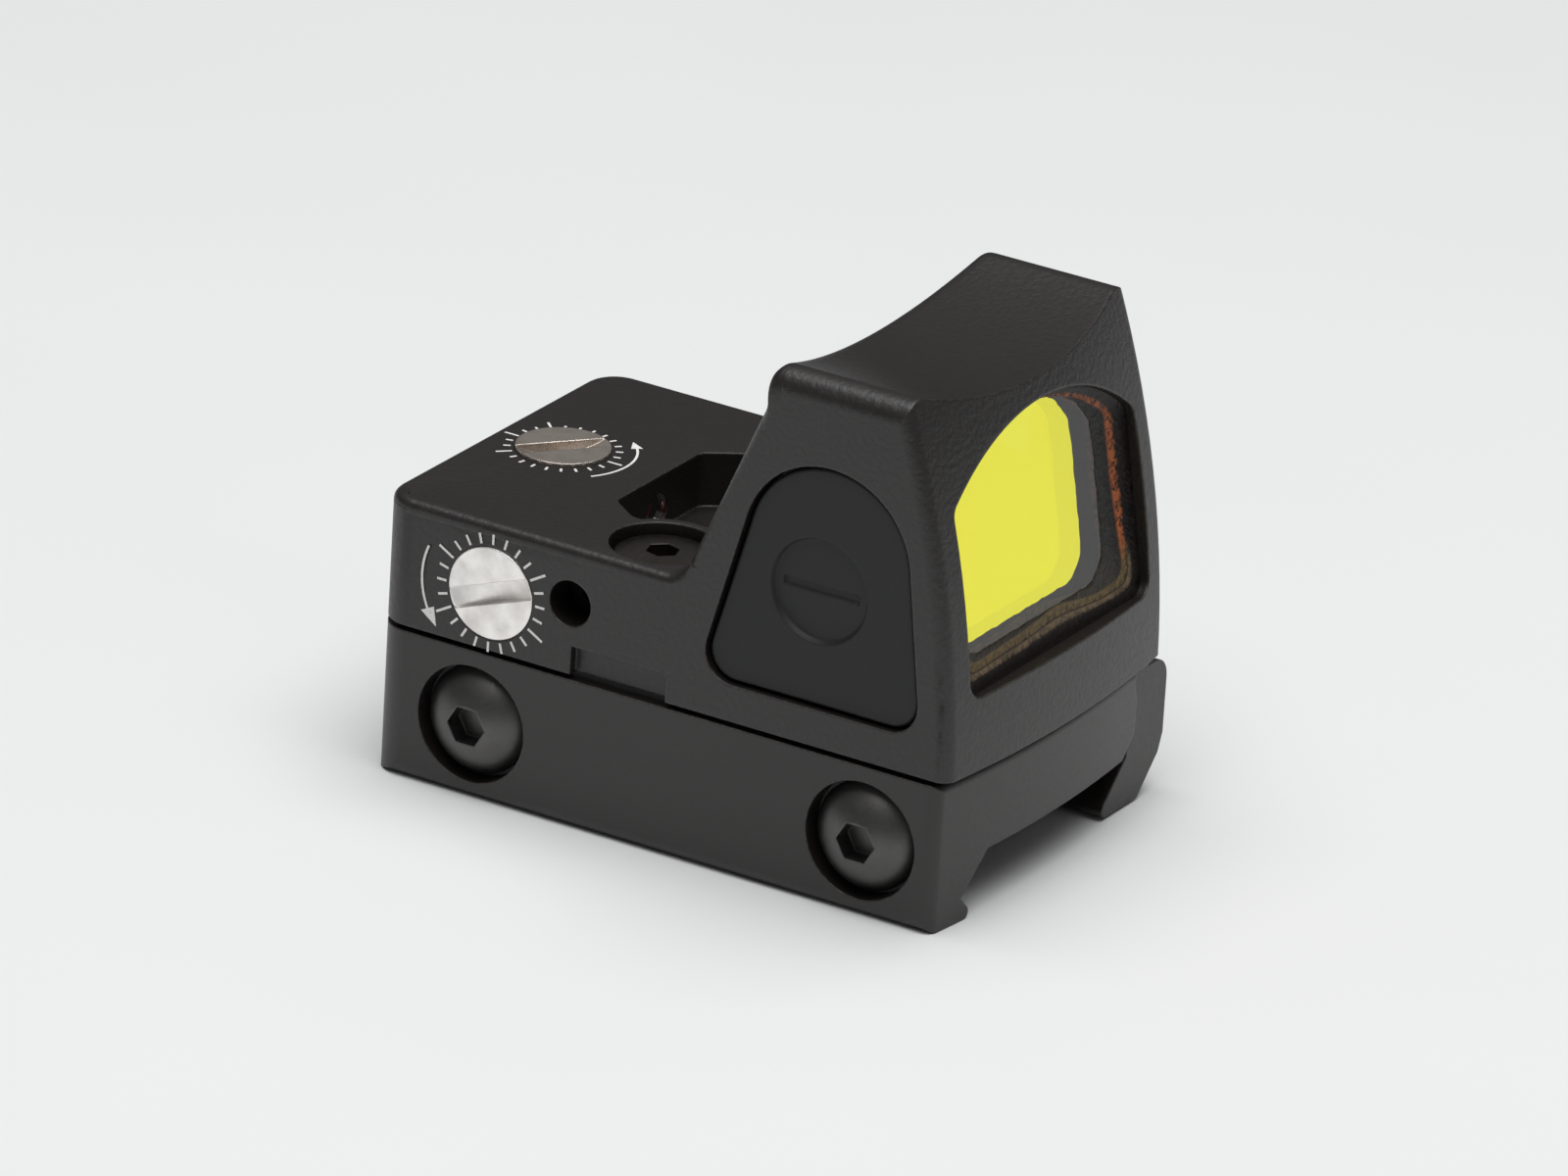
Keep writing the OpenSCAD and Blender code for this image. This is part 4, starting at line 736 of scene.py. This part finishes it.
def bead_epoxy():
    """Cured epoxy, wrinkled where it was wiped, with painted shade in the hollows of the folds. It has an
    amber line where it lies thick, is nearly black in the thin film beyond, and runs tan along the foot,
    where more light comes through it; the gold band past a brown line there is a painted reflection of the
    tan band in the glass."""
    made, tree = new_material("amber_epoxy")
    place = node(tree, "TexCoord").outputs["Object"]
    folds = node(tree, "TexNoise", {
        "Vector": place, "Scale": 1 / (FOLD_MM * MM), "Detail": 3.0, "Distortion": 0.8})
    height = node(tree, "SeparateXYZ", {0: place}).outputs["Z"]
    low = node(tree, "MapRange", {
        "Value": height, "From Min": FOOT_Z_HIGH * MM, "From Max": FOOT_Z_LOW * MM})
    calm = node(tree, "MapRange", {"Value": low, "To Min": 0.7, "To Max": 0.2})
    stray = node(tree, "MapRange", {"Value": folds, "To Min": -0.5, "To Max": 0.5})
    stray = node(tree, "Math", {0: stray, 1: calm}, operation="MULTIPLY")
    wall = node(tree, "Attribute", attribute_name="from_wall").outputs["Fac"]
    wall = node(tree, "Math", {0: wall, 1: stray}, operation="ADD")
    side_share = node(tree, "Math", {0: wall, 1: BEAD_WIDE}, operation="DIVIDE")
    foot_share = node(tree, "Math", {0: wall, 1: BEAD_FOOT}, operation="DIVIDE")
    side = node(tree, "ValToRGB", {0: side_share}, stops=(
        (0.0, "#150c08"), (0.34, "#1a0d07"), (0.42, "#9a5228"), (0.56, "#a85a2c"), (0.64, "#0e0b07"),
        (1.0, "#1a170f")))
    # Along the foot: tan, a brown line at the corner, then gold, which is a painted reflection of the tan
    # band in the glass.
    foot = node(tree, "ValToRGB", {0: foot_share}, stops=(
        (0.0, "#120c09"), (0.38, "#1a110c"), (0.46, "#6b5a45"), (0.58, "#7a674c"), (0.64, "#24170f"),
        (0.7, "#66532f"), (0.92, "#6f5b36"), (1.0, "#2c2416")))
    tone = node(tree, "Mix", {0: low, 6: side, 7: foot}, data_type="RGBA")
    # Painted shade: the hollows of the folds darken the colour, fully on the sides and less along the wiped
    # foot.
    shade = node(tree, "ValToRGB", {0: folds}, stops=((0.38, "#484848"), (0.6, "#ffffff")))
    painted_fold_shade_strength = node(tree, "MapRange", {"Value": low, "To Min": 1.0, "To Max": 0.6})
    skin = node(tree, "Mix", {0: painted_fold_shade_strength, 6: tone.outputs[2], 7: shade},
                data_type="RGBA", blend_type="MULTIPLY")
    bump = node(tree, "Bump", {"Height": folds, "Distance": FOLD_DEEP_MM * MM})
    shader = node(tree, "BsdfPrincipled", {
        "Base Color": skin.outputs[2], "Roughness": 0.4, "Normal": bump, "IOR": 1.35})
    node(tree, "OutputMaterial", {"Surface": shader})
    return made


def adhesive_bead():
    """A closed band round the window: down the wall, under the glass's edge, over its front to a lip whose
    width drifts from BEAD_THIN to BEAD_WIDE and BEAD_FOOT, and back up to the wall in a hollow curve.
    It also gives the number of its rows and each point's distance from the wall."""
    wall, edge, rim = window_ring(-BEAD_WALL_GAP), window_ring(-BEAD_EDGE_GAP), window_ring(-BEAD_RIM_GAP)
    thin = window_ring(-BEAD_THIN, BEAD_CORNER_R)
    across, up = thin.T
    left = (1 - step(LEFT_FULL, LEFT_NONE, across)) * (1 - ARCH_TAKES * step(ARCH_LOW, ARCH_HIGH, up))
    foot = 1 - step(FOOT_FULL, FOOT_NONE, up)
    lip = thin + np.c_[left * (BEAD_WIDE - BEAD_THIN), foot * (BEAD_FOOT - BEAD_THIN)]
    wave = np.linspace(0, 2 * np.pi, OUTLINE, endpoint=False)
    ripple = 0.5 * np.sin(23 * wave) + 0.3 * np.sin(41 * wave + 1.3) + 0.2 * np.sin(67 * wave + 0.4)
    lip = lip * (1 + RIPPLE_WIDE * ripple[:, None])
    share = np.array([0.97, 0.85, 0.7, 0.55, 0.4, 0.28, 0.16, 0.06, 0.0])[:, None]
    top = wall + share[..., None] * (lip - wall)
    rise = LENS_T + BEAD_LIFT + BEAD_CLIMB * (1 - share) ** 3 + RIPPLE_HIGH * ripple * share
    rings = np.concatenate([[wall, edge, edge, rim, lip], top])
    over = LENS_T + BEAD_FILM
    base = np.array([BEAD_SEAT, BEAD_SEAT, LENS_T - LENS_CHAMFER, over, over])[:, None]
    depth = np.concatenate([base + 0 * wave, rise + 0 * wave])
    distance = np.hypot(*(rings - wall).transpose(2, 0, 1)).ravel()
    return at_lens(rings, depth).reshape(-1, 3), len(rings), distance


points, rows, from_wall = adhesive_bead()
last = (rows - 1) * OUTLINE
k = np.arange(OUTLINE)
closing = np.c_[last + k, last + (k + 1) % OUTLINE, (k + 1) % OUTLINE, k]
bead = piece_of("lens_adhesive_bead", points, np.concatenate([ring_skin(rows, OUTLINE), closing]),
                bead_epoxy(), sharp=1.2)
bead.data.attributes.new("from_wall", "FLOAT", "POINT").data.foreach_set("value", from_wall)
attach(bead, "sight")
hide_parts("lens_bead")

# Camera: a long lens at the photograph's angle, fitted to the outlines of the body.
# It looks down from the front right, rolled a little clockwise.
VIEW_SIDE, VIEW_RISE, VIEW_ROLL = np.radians([30.0, 22.85, 3.53])
VIEW_DISTANCE = 846.4
VIEW_AIM = np.array([0, 0, 6.0])
AIM_SHIFT = (0.62, 3.63)
FOCAL_MM, SENSOR_MM = 294, 36
level = np.cos(VIEW_RISE)
back = np.array([np.cos(VIEW_SIDE) * level, np.sin(VIEW_SIDE) * level, np.sin(VIEW_RISE)])
right = np.array([-np.sin(VIEW_SIDE), np.cos(VIEW_SIDE), 0])
up = np.cross(back, right)
right, up = (np.cos(VIEW_ROLL) * right + np.sin(VIEW_ROLL) * up,
             np.cos(VIEW_ROLL) * up - np.sin(VIEW_ROLL) * right)
eye = VIEW_AIM + AIM_SHIFT[0] * right + AIM_SHIFT[1] * up + VIEW_DISTANCE * back
camera = bpy.data.objects.new("camera", bpy.data.cameras.new("camera"))
camera.data.lens, camera.data.sensor_width = FOCAL_MM, SENSOR_MM
camera.matrix_world = Matrix([[*row, e * MM] for row, e in zip(np.c_[right, up, back], eye)] + [[0, 0, 0, 1]])
bpy.context.collection.objects.link(camera)
bpy.context.scene.camera = camera

# Studio: a pale matt table under one large softbox, with a dim room round it.
# The room is darker towards the horizon, so that upright faces mirror less light than the top.
FLOOR_SIZE, FLOOR_GAP, FLOOR_GRAIN_MM = 8000, 0.01, 40
FLOOR_Z = cad_box[0][2] / MM - FLOOR_GAP
LAMP_AT, LAMP_SIZE, LAMP_POWER = (60, 60, 700), 700, 5.9
SKY_FULL = 0.5
corner = np.array([[-1, -1], [1, -1], [1, 1], [-1, 1]]) * FLOOR_SIZE / 2


def table_top():
    """Matt laminate, pale grey with a barely seen grain."""
    made, tree = new_material("pale_table_laminate")
    place = node(tree, "TexCoord").outputs["Object"]
    grain = node(tree, "TexNoise", {"Vector": place, "Scale": 1 / (FLOOR_GRAIN_MM * MM), "Detail": 2.0})
    tone = node(tree, "Mix", {0: grain, 6: srgb("#e4e5e5"), 7: srgb("#e7e8e8")}, data_type="RGBA")
    shader = node(tree, "BsdfDiffuse", {"Color": tone.outputs[2]})
    node(tree, "OutputMaterial", {"Surface": shader})
    return made


floor = piece_of("floor", np.c_[corner, np.full(4, FLOOR_Z)], [[0, 1, 2, 3]], table_top())
lamp = bpy.data.objects.new("overhead_softbox", bpy.data.lights.new("overhead_softbox", "AREA"))
lamp.data.size, lamp.data.energy = LAMP_SIZE * MM, LAMP_POWER
lamp.location = Vector(LAMP_AT) * MM
lamp.rotation_euler = (-Vector(LAMP_AT)).to_track_quat("-Z", "Y").to_euler()
bpy.context.collection.objects.link(lamp)
world = bpy.data.worlds.new("dim_room")
world.use_nodes = True
bpy.context.scene.world = world
room = world.node_tree
room.nodes.clear()
sky = node(room, "SeparateXYZ", {0: node(room, "TexCoord").outputs["Generated"]}).outputs["Z"]
fade = node(room, "MapRange", {"Value": sky, "From Min": 0.0, "From Max": SKY_FULL})
tone = node(room, "Mix", {0: fade, 6: srgb("#363636"), 7: srgb("#7c7c7c")}, data_type="RGBA")
node(room, "OutputWorld", {"Surface": node(room, "Background", {"Color": tone.outputs[2]})})
bpy.context.scene.view_settings.view_transform = "Standard"
